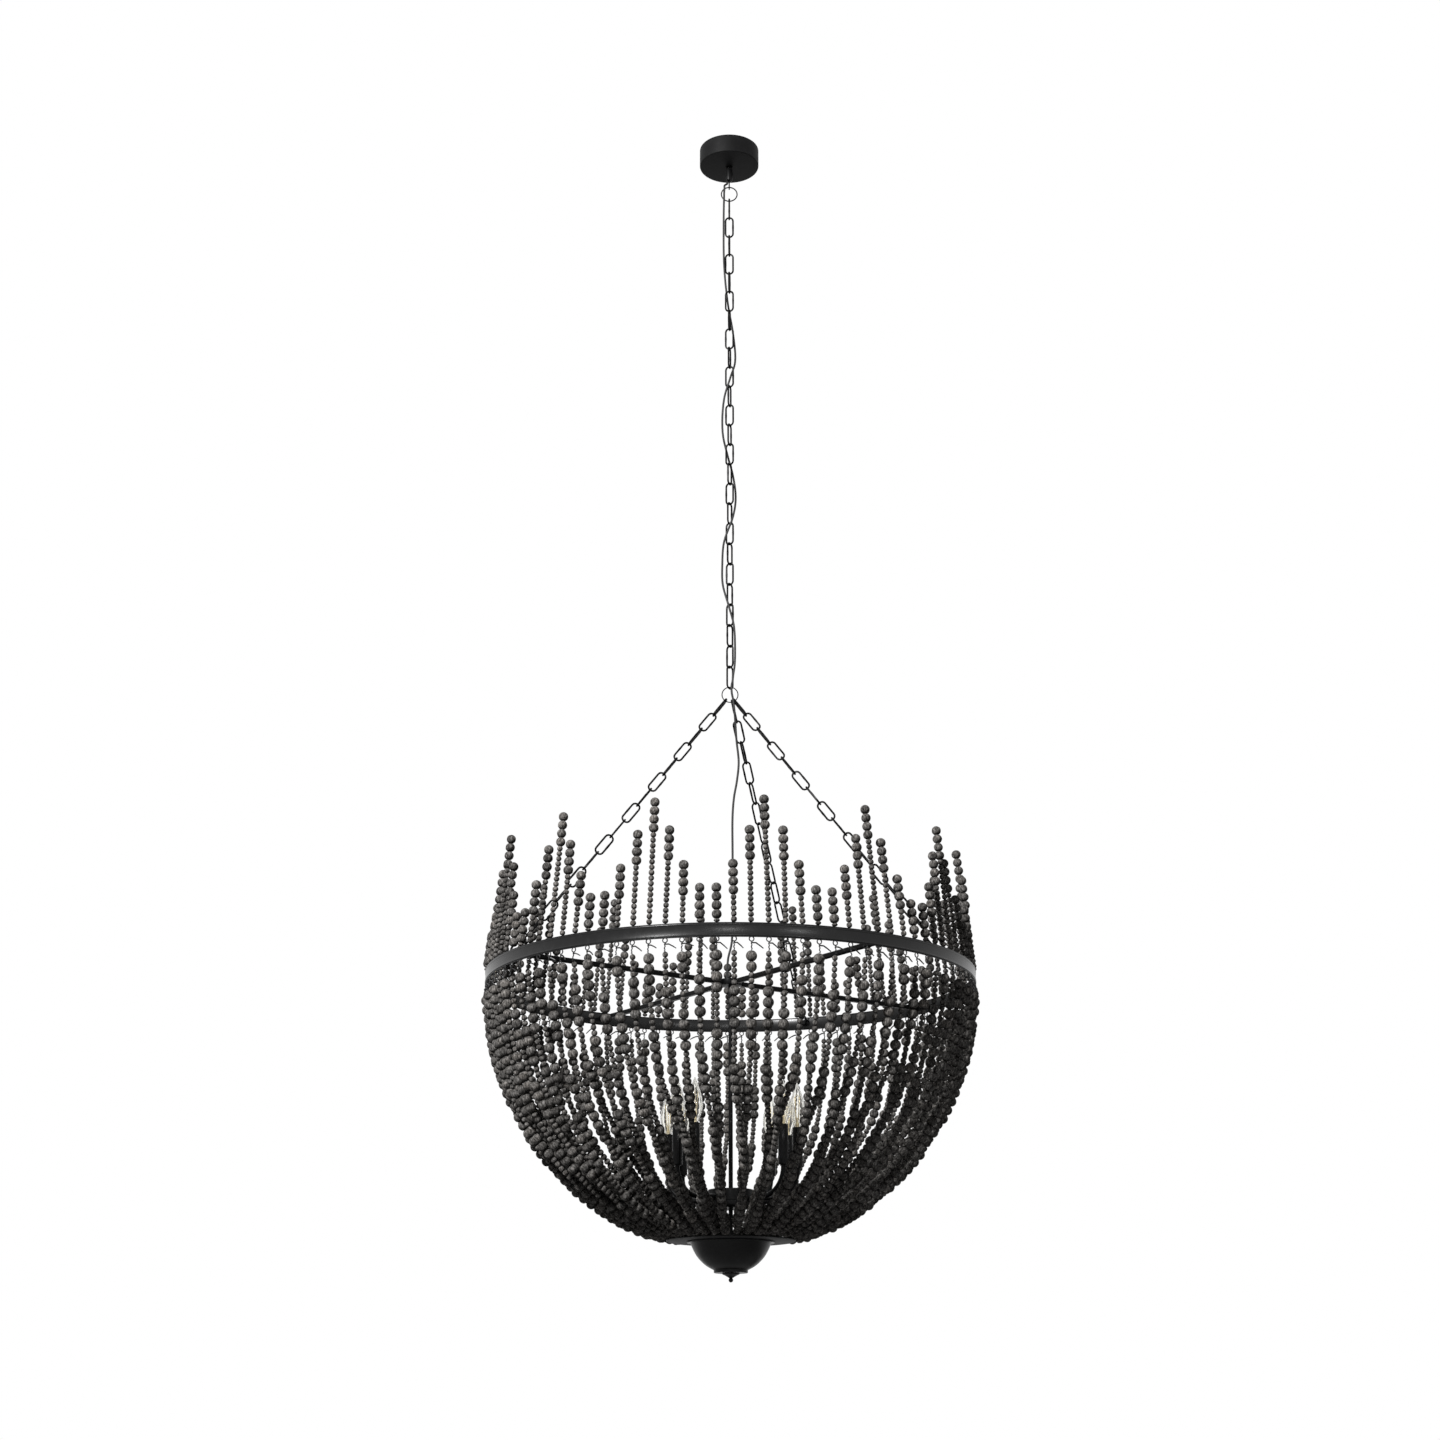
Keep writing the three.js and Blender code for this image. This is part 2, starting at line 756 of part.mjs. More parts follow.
function combGeometry(strands, nearZ, farZ, startAngle, endAngle) {
  const skin = new Skin(nearZ > farZ);
  const halfNeck = strandNeck / 2 / spineMiddle;
  const inner = spineMiddle - spineThickness / 2;
  const outer = spineMiddle + spineThickness / 2;
  const sectionAt = (angle) => ({
    nearOuter: polar(outer, angle, nearZ),
    nearInner: polar(inner, angle, nearZ),
    farInner: polar(inner, angle, farZ),
    farOuter: polar(outer, angle, farZ),
  });
  const stations = [{ at: startAngle, strand: null }];
  for (const strand of strands) {
    stations.push({ at: strand.angle - halfNeck, strand });
    stations.push({ at: strand.angle + halfNeck, strand: null });
  }
  stations.push({ at: endAngle, strand: null });
  const sections = stations.map((station) => sectionAt(station.at));
  const first = sections[0];
  skin.quad(first.nearOuter, first.farOuter, first.farInner, first.nearInner);
  const last = sections.at(-1);
  skin.quad(last.nearInner, last.farInner, last.farOuter, last.nearOuter);
  for (let index = 0; index + 1 < sections.length; index += 1) {
    const a = sections[index];
    const b = sections[index + 1];
    skin.quad(a.nearOuter, b.nearOuter, b.farOuter, a.farOuter);
    skin.quad(a.farOuter, b.farOuter, b.farInner, a.farInner);
    skin.quad(a.farInner, b.farInner, b.nearInner, a.nearInner);
    const root = [a.nearOuter, b.nearOuter, b.nearInner, a.nearInner];
    const { strand } = stations[index];
    const rings = strand ? [root, ...strand.rings] : [root];
    for (let step = 0; step + 1 < rings.length; step += 1) {
      const here = rings[step];
      const there = rings[step + 1];
      here.forEach((corner, spot) => {
        const neighbour = (spot + 1) % here.length;
        skin.quad(here[neighbour], corner, there[spot], there[neighbour]);
      });
    }
    const [c0, c1, c2, c3] = rings.at(-1);
    skin.quad(c3, c2, c1, c0);
  }
  return skin.geometry();
}

// Four corners of a strand's section, outer side first
function strandRing(centre, angle, normal, width) {
  const sideways = along(angle).multiplyScalar(width / 2);
  const outwards = normal.clone().multiplyScalar(width / 2);
  const outer = centre.clone().add(outwards);
  const inner = centre.clone().sub(outwards);
  return [
    outer.clone().sub(sideways),
    outer.clone().add(sideways),
    inner.clone().add(sideways),
    inner.clone().sub(sideways),
  ];
}

const strandCount = periodCount * periodStrands;
const strandPitch = fullTurn / strandCount;

function strandAngle(index) {
  return crownStart + index * strandPitch;
}

// Parts of a set of strands: each part takes its run of strands and its arc of spine
function placeParts(count, name, strandOf, nearZ, farZ) {
  const perPart = strandCount / count;
  const trim = fitGap / spineMiddle / 2;
  for (let part = 0; part < count; part += 1) {
    const from = part * perPart;
    const strands = Array.from({ length: perPart }, (_, step) => strandOf(from + step));
    const startAngle = strandAngle(from) - strandPitch / 2 + trim;
    const endAngle = strandAngle(from + perPart) - strandPitch / 2 - trim;
    place(
      `${name}_${part + 1}`,
      combGeometry(strands, nearZ, farZ, startAngle, endAngle),
      darkWood,
    );
  }
}

// Crown: small beads below and four large ones on top, leaning in
const crownBase = bandTop + fitGap;

function crownStrand(index) {
  const angle = strandAngle(index);
  const height = crownHeights[index % periodStrands];
  const normal = polar(Math.cos(crownLean), angle, Math.sin(crownLean));
  const ringAt = (rise, width) => {
    const radius = spineMiddle - rise * Math.tan(crownLean);
    return strandRing(polar(radius, angle, ringHeight + rise), angle, normal, width);
  };
  const top = height + largeBead / 2;
  const change = top - crownLargeBeads * largePitch;
  const rings = [ringAt(top, largeBead)];
  if (change > bandHeight) rings.unshift(ringAt(change, smallBead));
  return { angle, rings };
}

placeParts(crownParts, "crown_beads", crownStrand, crownBase + spineHeight, crownBase);

// Bowl: strands follow an ellipse down and in, gather in columns, and end on the strand plate
const bowlRadius = ringRadius - bowlInset;
const columnPitch = fullTurn / periodCount / bundlesPerPeriod;
const hoopTop = bandBottom - fitGap;
const hoopBottom = hoopTop - spineHeight;
const bowlStart = Math.asin((ringHeight - hoopBottom) / bowlDepth);
const bowlTurn = Math.acos(bowlTurnRadius / bowlRadius);

function hangingStrand(index) {
  const ownAngle = strandAngle(index);
  const spot = index % periodStrands;
  const period = Math.floor(index / periodStrands);
  const column = period * bundlesPerPeriod + columnOf[spot];
  const columnAngle = bundleStart + column * columnPitch;
  const inward = placeInColumn[spot] * bundleStep;
  const rings = bowlStationShares.map(([way, inwardShare, sideShare]) => {
    const dip = bowlStart + (bowlTurn - bowlStart) * way;
    const angle = ownAngle + (columnAngle - ownAngle) * sideShare;
    const lean = Math.atan2(bowlRadius * Math.sin(dip), bowlDepth * Math.cos(dip));
    const normal = polar(Math.cos(lean), angle, -Math.sin(lean));
    const centre = polar(bowlRadius * Math.cos(dip), angle, ringHeight - bowlDepth * Math.sin(dip));
    centre.addScaledVector(normal, -inward * inwardShare);
    return strandRing(centre, angle, normal, hangingWidth);
  });
  const endRise = bowlEndWidth / 2 + placeInColumn[spot] * (bowlEndWidth + 2 * fitGap);
  const end = polar(bowlEndRadius, columnAngle, plateTop + fitGap + endRise);
  rings.push(strandRing(end, columnAngle, down, bowlEndWidth));
  return { angle: ownAngle, rings };
}

placeParts(curtainParts, "bead_curtain", hangingStrand, hoopBottom, hoopTop);

// Supply cord: a route chosen by hand, in lengths that follow the pieces they hang beside
const cordRoutes = {
  cord_stub: [
    [gripPlace, 0, gripBottom - fitGap],
    [gripPlace, 0, -96.5],
    [-9, -3.4, -101.5],
    [-12, -6.4, -106.5],
    [-12.2, -6.6, loopBottomWire + cordJointGap / 2],
  ],
  cord_at_top_ring: [
    [-12.2, -6.4, loopBottomWire - cordJointGap / 2],
    [-12.4, -5.4, -118],
    [-13, -4.5, -128],
    [-13.2, -4.6, topRingBottomWire + cordJointGap / 2],
  ],
  cord_on_chain: [
    [-13.4, -4.8, topRingBottomWire - cordJointGap / 2],
    [-14.4, -2, -230.5],
    [-13, 7, -331.1],
    [-4, 12.9, -431.6],
    [9.6, 11, -522.2],
    [13.9, 0, -602.6],
    [2, -13.8, -652.9],
    [-13.6, -6, -708.2],
    [-17, 4, -793.7],
    [-4, 14.6, -854.1],
    [8, 13.2, -904.3],
    [14.6, 5, -964.7],
    [8, -15, -1025],
    [-14, -12, -1091.4],
    [-18, -4, -1145.7],
    [-17, -8, -1198],
    [-4, -17, -1252.3],
    [9, -14.6, -1303.6],
    [12, -12.8, -1356.9],
    [11, -13.5, -1405.2],
    [8, -14.8, -1427.3],
    [6, -15.2, -1444.4],
    [3.5, -14.8, -1457.5],
    [4, -14.2, junctionCentre + cordJointGap / 2],
  ],
  cord_drop: [
    [4.3, -14.1, junctionCentre - cordJointGap / 2],
    [7.5, -13.6, -1492.7],
    [10.5, -12, -1519.9],
    [12, -8, -1541],
    [15, -2, -1587],
    [20, 0, -1640],
    [15.6, 0, -1686.4],
    [9, 0, -1724.8],
    [5.5, 0, -1770.2],
    [5.4, 0, -1881.2],
    [3.4, 0, -2064.9],
    [-5, -2, -2104.2],
    [-7, -2, -2129.4],
    [-7, -2, hubPlateLow + hubPlateHeight + fitGap],
  ],
};

for (const [name, route] of Object.entries(cordRoutes)) {
  const points = route.map(([x, y, z]) => new THREE.Vector3(x, y, z));
  const length = new THREE.CatmullRomCurve3(points).getLength();
  const steps = Math.max(Math.ceil(length / cordStep), route.length);
  place(name, tubeAlong(points, cordDiameter, cordSides, steps), cordSkin);
}

export default chandelier;
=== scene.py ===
import math

import bpy
import numpy as np
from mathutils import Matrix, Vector


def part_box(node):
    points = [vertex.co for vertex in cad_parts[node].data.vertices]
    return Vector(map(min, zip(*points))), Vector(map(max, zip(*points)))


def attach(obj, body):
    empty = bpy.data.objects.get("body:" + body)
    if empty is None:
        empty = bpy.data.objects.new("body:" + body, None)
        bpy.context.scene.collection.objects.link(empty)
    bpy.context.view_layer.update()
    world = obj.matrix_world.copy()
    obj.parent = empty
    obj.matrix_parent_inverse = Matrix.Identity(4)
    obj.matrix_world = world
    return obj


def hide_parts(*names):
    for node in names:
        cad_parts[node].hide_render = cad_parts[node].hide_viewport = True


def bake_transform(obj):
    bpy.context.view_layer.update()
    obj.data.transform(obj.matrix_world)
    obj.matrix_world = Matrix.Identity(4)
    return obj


# A beaded chandelier. Metres, +Z up, in the CAD's frame: the origin is on the ceiling.
# Angles round the light are counted from -Y towards +X.
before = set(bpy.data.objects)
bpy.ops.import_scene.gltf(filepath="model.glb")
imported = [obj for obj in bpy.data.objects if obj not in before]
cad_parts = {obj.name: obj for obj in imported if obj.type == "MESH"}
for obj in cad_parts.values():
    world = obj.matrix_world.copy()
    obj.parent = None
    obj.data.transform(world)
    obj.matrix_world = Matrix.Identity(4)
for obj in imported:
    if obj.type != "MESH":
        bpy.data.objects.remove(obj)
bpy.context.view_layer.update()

FULL = 2 * math.pi
UP = np.array([0.0, 0.0, 1.0])
chance = np.random.default_rng(41)

# Heights and sizes of the part's source, in metres
BOSS_BOTTOM = -0.0883
LOOP_CENTRE = -0.1023
LOOP_RADIUS = 0.009
LOOP_WIRE = 0.0034
TOP_RING_CENTRE = -0.1276
TOP_RING_RADIUS = 0.020
TOP_RING_WIRE = 0.003
CHAIN_TOP = -0.14395
LINK_PITCH = 0.0525
LINK_WIDTH = 0.022
LINK_WIRE = 0.0033
LINK_BITE = 0.001
MAIN_LINKS = 25
MAIN_TWIST = math.radians(45)
JUNCTION_RADIUS = 0.01875
JUNCTION_WIRE = 0.0025
JUNCTION_CENTRE = -1.4741
LEG_LINKS = 16
LEG_ANGLES = [math.radians(a) for a in (-61, 57, 160)]
LINK_PLAY = 0.0005
RING_RADIUS = 0.550
BAND_HEIGHT = 0.025
BAND_THICKNESS = 0.004
EYE_RADIUS = 0.008
EYE_WIRE = 0.004
EYE_INSET = 0.014
EYE_RISE = 0.008
CROSS_TURN = math.radians(35)
BAR_WIDTH = 0.012
BAR_HEIGHT = 0.010
HUB_PLATE_RADIUS = 0.025
HUB_PLATE_HEIGHT = 0.014
LAMP_ANGLES = [math.radians(a) for a in (-48, -30, 46.5, 69.6, 124, 144, -136, -116)]
LAMP_CIRCLE = 0.155
ARM_DIAMETER = 0.0106
ARM_BEND = 0.060
SLEEVE_RADIUS = 0.011
BULB_RADIUS = 0.0175
BULB_HEIGHT = 0.098
TUBE_DIAMETER = 0.0095
PLATE_RADIUS = 0.141
CUP_RIM = 0.095
CUP_RIM_HEIGHT = 0.003
CUP_RADIUS = 0.088
CUP_LIP = 0.037
CUP_DEPTH = 0.060
CORD_DIAMETER = 0.005
FIT_GAP = 0.0003
TUBE_HOLE = TUBE_DIAMETER / 2 + FIT_GAP

# The ring's middle is the middle of the band, which the cross bars share
cross_low, cross_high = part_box("cross_frame")
RING = (cross_low.z + cross_high.z) / 2
BAND_TOP = RING + BAND_HEIGHT / 2
BAND_BOTTOM = RING - BAND_HEIGHT / 2


def placed(name, data):
    obj = bpy.data.objects.new(name, data)
    bpy.context.scene.collection.objects.link(obj)
    return obj


# Camera, matched to the photograph: its focal length is in pixels, like the picture's width
PICTURE = 1440
FOCAL_PIXELS = 2155
SENSOR = 36.0
CAMERA_AWAY = 4.795
CAMERA_LEFT = 0.0235
CAMERA_UNDER_RING = 0.9533
CAMERA_PITCH = math.radians(18.2)

camera_data = bpy.data.cameras.new("camera")
camera_data.sensor_width = SENSOR
camera_data.lens = SENSOR * FOCAL_PIXELS / PICTURE
camera_data.clip_start = 0.05
camera_data.clip_end = 60
camera = placed("camera", camera_data)
camera.location = (-CAMERA_LEFT, -CAMERA_AWAY, RING - CAMERA_UNDER_RING)
camera.rotation_euler = (math.pi / 2 + CAMERA_PITCH, 0, 0)
bpy.context.scene.camera = camera


# Vectors
def polar(radius, angle, z):
    return np.array([radius * math.sin(angle), -radius * math.cos(angle), z])


def along_ring(angle):
    return np.array([math.cos(angle), math.sin(angle), 0])


def unit(v):
    return v / np.linalg.norm(v)


def turned(v, axis, angle):
    return (
        v * math.cos(angle)
        + np.cross(axis, v) * math.sin(angle)
        + axis * (axis @ v) * (1 - math.cos(angle))
    )


def smooth(x):
    x = min(max(x, 0.0), 1.0)
    return x * x * (3 - 2 * x)


# Meshes
class Skin:
    """Points and faces of one piece, with a place in the grain and a tone for each point."""

    def __init__(self):
        self.points, self.faces, self.grains, self.tones = [], [], [], []
        self.count = 0

    def add(self, points, faces, grain=None, tone=0.5):
        points = np.asarray(points, float)
        self.points.append(points)
        self.faces.extend([tuple(i + self.count for i in face) for face in faces])
        self.grains.append(points if grain is None else grain)
        self.tones.append(np.broadcast_to(tone, len(points)))
        self.count += len(points)
        return self

    def take(self, shape, **marks):
        return self.add(*shape, **marks)

    def piece(self, name, body, material, slot, replaces=(), sharp=40):
        mesh = bpy.data.meshes.new(name)
        mesh.from_pydata(np.concatenate(self.points).tolist(), [], self.faces)
        mesh.update()
        grain = mesh.attributes.new("grain", "FLOAT_VECTOR", "POINT")
        grain.data.foreach_set("vector", np.concatenate(self.grains).astype(np.float32).ravel())
        tone = mesh.attributes.new("tone", "FLOAT", "POINT")
        tone.data.foreach_set("value", np.concatenate(self.tones).astype(np.float32))
        mesh.shade_smooth()
        if sharp:
            mesh.set_sharp_from_angle(angle=math.radians(sharp))
        obj = placed(name, mesh)
        mesh.materials.append(material)
        if body:
            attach(obj, body)
        if replaces:
            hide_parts(*replaces)
        return obj


def lathe(outline, segments, centre=(0, 0), closed=False):
    """Turns (radius, height) points about the vertical axis. A point of no radius is one vertex."""
    points, rings = [], []
    for radius, z in outline:
        if radius < 1e-9:
            rings.append([len(points)])
            points.append([centre[0], centre[1], z])
            continue
        rings.append(list(range(len(points), len(points) + segments)))
        for step in range(segments):
            angle = FULL * step / segments
            points.append([centre[0] + radius * math.cos(angle), centre[1] + radius * math.sin(angle), z])
    faces = []
    pairs = list(zip(rings, rings[1:] + rings[:1])) if closed else list(zip(rings, rings[1:]))
    for low, high in pairs:
        for step in range(segments):
            after = (step + 1) % segments
            if len(low) == 1 and len(high) == 1:
                continue
            if len(low) == 1:
                faces.append((low[0], high[after], high[step]))
            elif len(high) == 1:
                faces.append((low[step], low[after], high[0]))
            else:
                faces.append((low[step], low[after], high[after], high[step]))
    return points, faces


def rod(radius, low, high, hole=0):
    """The outline of a plain round piece."""
    return [(hole, low), (radius, low), (radius, high), (hole, high)]


def rounded(outline, radius, steps, closed=False):
    """The outline with its corners rounded; the two ends stay as they are unless it is closed."""
    points = [np.array(p, float) for p in outline]
    out = []
    for index, corner in enumerate(points):
        if not closed and index in (0, len(points) - 1):
            out.append(tuple(corner))
            continue
        before = points[index - 1]
        after = points[(index + 1) % len(points)]
        reach_before = min(radius, np.linalg.norm(before - corner) / 2.2)
        reach_after = min(radius, np.linalg.norm(after - corner) / 2.2)
        start = corner + unit(before - corner) * reach_before
        end = corner + unit(after - corner) * reach_after
        for step in range(steps + 1):
            t = step / steps
            out.append(tuple((1 - t) ** 2 * start + 2 * t * (1 - t) * corner + t * t * end))
    return out


def sweep(path, radius, sides, closed=False):
    """A round tube along a path; radius is one number or one for each point."""
    path = [np.asarray(p, float) for p in path]
    count = len(path)
    radii = [radius] * count if np.isscalar(radius) else radius
    tangents = []
    for index in range(count):
        if closed:
            before, after = path[index - 1], path[(index + 1) % count]
        else:
            before, after = path[max(index - 1, 0)], path[min(index + 1, count - 1)]
        tangents.append(unit(after - before))
    first = np.cross(tangents[0], UP if abs(tangents[0][2]) < 0.9 else np.array([0.0, 1.0, 0.0]))
    normal = unit(first - tangents[0] * (first @ tangents[0]))
    points = []
    for index, (place, tangent) in enumerate(zip(path, tangents)):
        normal = unit(normal - tangent * (normal @ tangent))
        side = np.cross(tangent, normal)
        for step in range(sides):
            angle = FULL * step / sides
            points.append(place + radii[index] * (normal * math.cos(angle) + side * math.sin(angle)))
    faces = []
    for index in range(count if closed else count - 1):
        here = index * sides
        there = ((index + 1) % count) * sides
        for step in range(sides):
            after = (step + 1) % sides
            faces.append((here + step, here + after, there + after, there + step))
    if not closed:
        faces.append(tuple(reversed(range(sides))))
        faces.append(tuple(range((count - 1) * sides, count * sides)))
    return points, faces


def circle(centre, radius, across, up, steps):
    """Points on a circle in the plane of two directions."""
    places = []
    for step in range(steps):
        angle = FULL * step / steps
        places.append(centre + radius * (across * math.cos(angle) + up * math.sin(angle)))
    return places


def box_bar(length, width, height, bevel, across, along, up, centre):
    """A bar with bevelled long edges and ends."""
    half = [(width / 2, height / 2 - bevel), (width / 2 - bevel, height / 2)]
    section = []
    for sign_x, sign_z, order in ((1, 1, half), (-1, 1, half[::-1]), (-1, -1, half), (1, -1, half[::-1])):
        section.extend([(sign_x * x, sign_z * z) for x, z in order])
    points = []
    stations = [(-length / 2, 0.8), (-length / 2 + bevel, 1.0), (length / 2 - bevel, 1.0), (length / 2, 0.8)]
    for way, share in stations:
        for x, z in section:
            points.append(centre + along * way + across * x * share + up * z * share)
    count = len(section)
    faces = []
    for station in range(len(stations) - 1):
        for step in range(count):
            after = (step + 1) % count
            a, b = station * count, (station + 1) * count
            faces.append((a + step, b + step, b + after, a + after))
    faces.append(tuple(range(count)))
    faces.append(tuple(reversed(range(3 * count, 4 * count))))
    return points, faces


def blob(centre, across, along, up, sizes):
    """A small rounded lump of weld."""
    rings, sides = 5, 8
    points, faces = lathe(
        [(math.cos(a), math.sin(a)) for a in np.linspace(-math.pi / 2, math.pi / 2, rings + 1)][1:-1],
        sides,
    )
    points = [[0, 0, -1]] + list(points) + [[0, 0, 1]]
    faces = [tuple(i + 1 for i in face) for face in faces]
    last = len(points) - 1
    for step in range(sides):
        after = (step + 1) % sides
        faces.append((0, 1 + after, 1 + step))
        faces.append((last, last - sides + step, last - sides + after))
    frame_rows = np.array([across * sizes[0], along * sizes[1], up * sizes[2]])
    return np.array(points, float) @ frame_rows + centre, faces


# Materials
def shader_of(name, roughness, metallic=0.0, specular=0.5):
    material = bpy.data.materials.new(name)
    material.use_nodes = True
    tree = material.node_tree
    shader = tree.nodes["Principled BSDF"]
    shader.inputs["Roughness"].default_value = roughness
    shader.inputs["Metallic"].default_value = metallic
    shader.inputs["Specular IOR Level"].default_value = specular
    return material, tree, shader


def paint(tree, shader, color):
    tree.links.new(color, shader.inputs["Base Color"])


def linear(color):
    return [(c / 12.92 if c <= 0.04045 else ((c + 0.055) / 1.055) ** 2.4) for c in color] + [1.0]


def noise(tree, vector, scale, detail, rough):
    node = tree.nodes.new("ShaderNodeTexNoise")
    node.inputs["Scale"].default_value = scale
    node.inputs["Detail"].default_value = detail
    node.inputs["Roughness"].default_value = rough
    tree.links.new(vector, node.inputs["Vector"])
    return node.outputs["Fac"]


def ramp(tree, value, stops):
    node = tree.nodes.new("ShaderNodeValToRGB")
    elements = node.color_ramp.elements
    elements[0].position, elements[0].color = stops[0][0], linear(stops[0][1])
    elements[1].position, elements[1].color = stops[-1][0], linear(stops[-1][1])
    for place, color in stops[1:-1]:
        elements.new(place).color = linear(color)
    tree.links.new(value, node.inputs["Fac"])
    return node.outputs["Color"]


def maths(tree, kind, a, b, c=None):
    node = tree.nodes.new("ShaderNodeMath")
    node.operation = kind
    for socket, value in zip(node.inputs, (a, b, c)):
        if value is None:
            continue
        if isinstance(value, (int, float)):
            socket.default_value = value
        else:
            tree.links.new(value, socket)
    return node.outputs["Value"]


def mixed(tree, kind, share, a, b):
    node = tree.nodes.new("ShaderNodeMix")
    node.data_type = "RGBA"
    node.blend_type = kind
    for socket, value in ((node.inputs[0], share), (node.inputs[6], a), (node.inputs[7], b)):
        if isinstance(value, (int, float, list)):
            socket.default_value = value
        else:
            tree.links.new(value, socket)
    return node.outputs[2]


def bump(tree, shader, height, strength, distance):
    node = tree.nodes.new("ShaderNodeBump")
    node.inputs["Strength"].default_value = strength
    node.inputs["Distance"].default_value = distance
    tree.links.new(height, node.inputs["Height"])
    tree.links.new(node.outputs["Normal"], shader.inputs["Normal"])


def attribute(tree, name, output):
    node = tree.nodes.new("ShaderNodeAttribute")
    node.attribute_name = name
    return node.outputs[output]


def grain_place(tree, stretch=(1, 1, 1)):
    node = tree.nodes.new("ShaderNodeMapping")
    node.inputs["Scale"].default_value = stretch
    tree.links.new(attribute(tree, "grain", "Vector"), node.inputs["Vector"])
    return node.outputs["Vector"]


def bead_wood():
    material, tree, shader = shader_of("bead_wood", 0.86, specular=0.03)
    fibres = noise(tree, grain_place(tree, (1, 1, 0.4)), 330, 5, 0.66)
    clouds = noise(tree, grain_place(tree), 110, 2, 0.5)
    color = ramp(
        tree,
        fibres,
        [(0.34, (0.16, 0.157, 0.153)), (0.5, (0.42, 0.414, 0.408)), (0.66, (0.68, 0.672, 0.664))],
    )
    shade = ramp(tree, clouds, [(0.3, (0.6, 0.594, 0.588)), (0.7, (1, 1, 1))])
    color = mixed(tree, "MULTIPLY", 0.55, color, shade)
    # The tone attribute carries each bead's random tone and the painted shade towards its holes
    tone = ramp(
        tree,
        attribute(tree, "tone", "Fac"),
        [
            (0, (0.2, 0.2, 0.2)),
            (0.25, (0.62, 0.61, 0.6)),
            (0.58, (0.88, 0.875, 0.87)),
            (0.95, (1, 0.98, 0.96)),
        ],
    )
    color = mixed(tree, "MULTIPLY", 1.0, color, tone)
    paint(tree, shader, color)
    bump(tree, shader, fibres, 0.5, 0.0005)
    return material


def painted_metal(name, color, roughness, specular, wear=0.0, metallic=0.0, texture=60):
    material, tree, shader = shader_of(name, roughness, metallic, specular)
    place = grain_place(tree)
    patches = noise(tree, place, texture, 4, 0.6)
    lighter = [min(c + 0.05 + wear, 1.0) for c in color]
    darker = [c * 0.72 for c in color]
    shade = ramp(tree, patches, [(0.35, darker), (0.55, color), (0.8, lighter)])
    paint(tree, shader, shade)
    fine = noise(tree, place, texture * 9, 3, 0.5)
    rough = maths(tree, "MULTIPLY_ADD", fine, 0.16, roughness - 0.08)
    tree.links.new(rough, shader.inputs["Roughness"])
    bump(tree, shader, fine, 0.12, 0.0003)
    return material


def zinc():
    material, tree, shader = shader_of("zinc", 0.38, 0.9, 0.5)
    place = grain_place(tree)
    spangle = noise(tree, place, 140, 3, 0.5)
    paint(tree, shader, ramp(tree, spangle, [(0.3, (0.52, 0.53, 0.54)), (0.7, (0.74, 0.75, 0.76))]))
    tree.links.new(maths(tree, "MULTIPLY_ADD", spangle, 0.3, 0.22), shader.inputs["Roughness"])
    return material


def plastic():
    material, tree, shader = shader_of("white_plastic", 0.5)
    speck = noise(tree, grain_place(tree), 300, 2, 0.5)
    paint(tree, shader, ramp(tree, speck, [(0.3, (0.82, 0.81, 0.78)), (0.7, (0.88, 0.87, 0.84))]))
    return material


def cord_skin():
    material, tree, shader = shader_of("cord_skin", 0.55, specular=0.35)
    weave = noise(tree, grain_place(tree), 900, 3, 0.5)
    paint(tree, shader, ramp(tree, weave, [(0.3, (0.04, 0.04, 0.042)), (0.7, (0.11, 0.11, 0.113))]))
    bump(tree, shader, weave, 0.25, 0.0003)
    return material


def clear_glass():
    material, tree, shader = shader_of("bulb_glass", 0.0)
    shader.inputs["Transmission Weight"].default_value = 1.0
    shader.inputs["IOR"].default_value = 1.45
    waves = noise(tree, grain_place(tree), 60, 2, 0.5)
    paint(tree, shader, ramp(tree, waves, [(0.3, (0.99, 0.985, 0.97)), (0.7, (1.0, 1.0, 0.99))]))
    return material


def warm_filament():
    material, tree, shader = shader_of("filament", 0.55, specular=0.3)
    speck = noise(tree, grain_place(tree), 700, 3, 0.6)
    color = ramp(
        tree, speck, [(0.3, (0.84, 0.76, 0.58)), (0.55, (0.94, 0.88, 0.73)), (0.75, (0.99, 0.96, 0.87))]
    )
    paint(tree, shader, color)
    return material


WOOD = bead_wood()
IRON = painted_metal("dark_iron", (0.04, 0.04, 0.042), 0.34, 0.07, wear=0.01)
WIRE = painted_metal("dark_wire", (0.11, 0.11, 0.113), 0.38, 0.2, wear=0.05, metallic=0.2, texture=120)
SATIN = painted_metal("black_satin", (0.055, 0.055, 0.057), 0.6, 0.1)
GLOSS = painted_metal("black_gloss", (0.07, 0.07, 0.072), 0.34, 0.1)
BAND = painted_metal("band_satin", (0.06, 0.06, 0.062), 0.25, 0.26)
SLEEVE = painted_metal("sleeve_black", (0.04, 0.04, 0.042), 0.2, 0.16)
ZINC = zinc()
PLASTIC = plastic()
CORD = cord_skin()
GLASS = clear_glass()
FILAMENT = warm_filament()

for node_name, node_material in (
    ("ceiling_bracket", ZINC),
    ("bracket_screw_1", ZINC),
    ("bracket_screw_2", ZINC),
    ("nipple", ZINC),
    ("terminal_block", PLASTIC),
):
    for material_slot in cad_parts[node_name].material_slots:
        material_slot.material = node_material


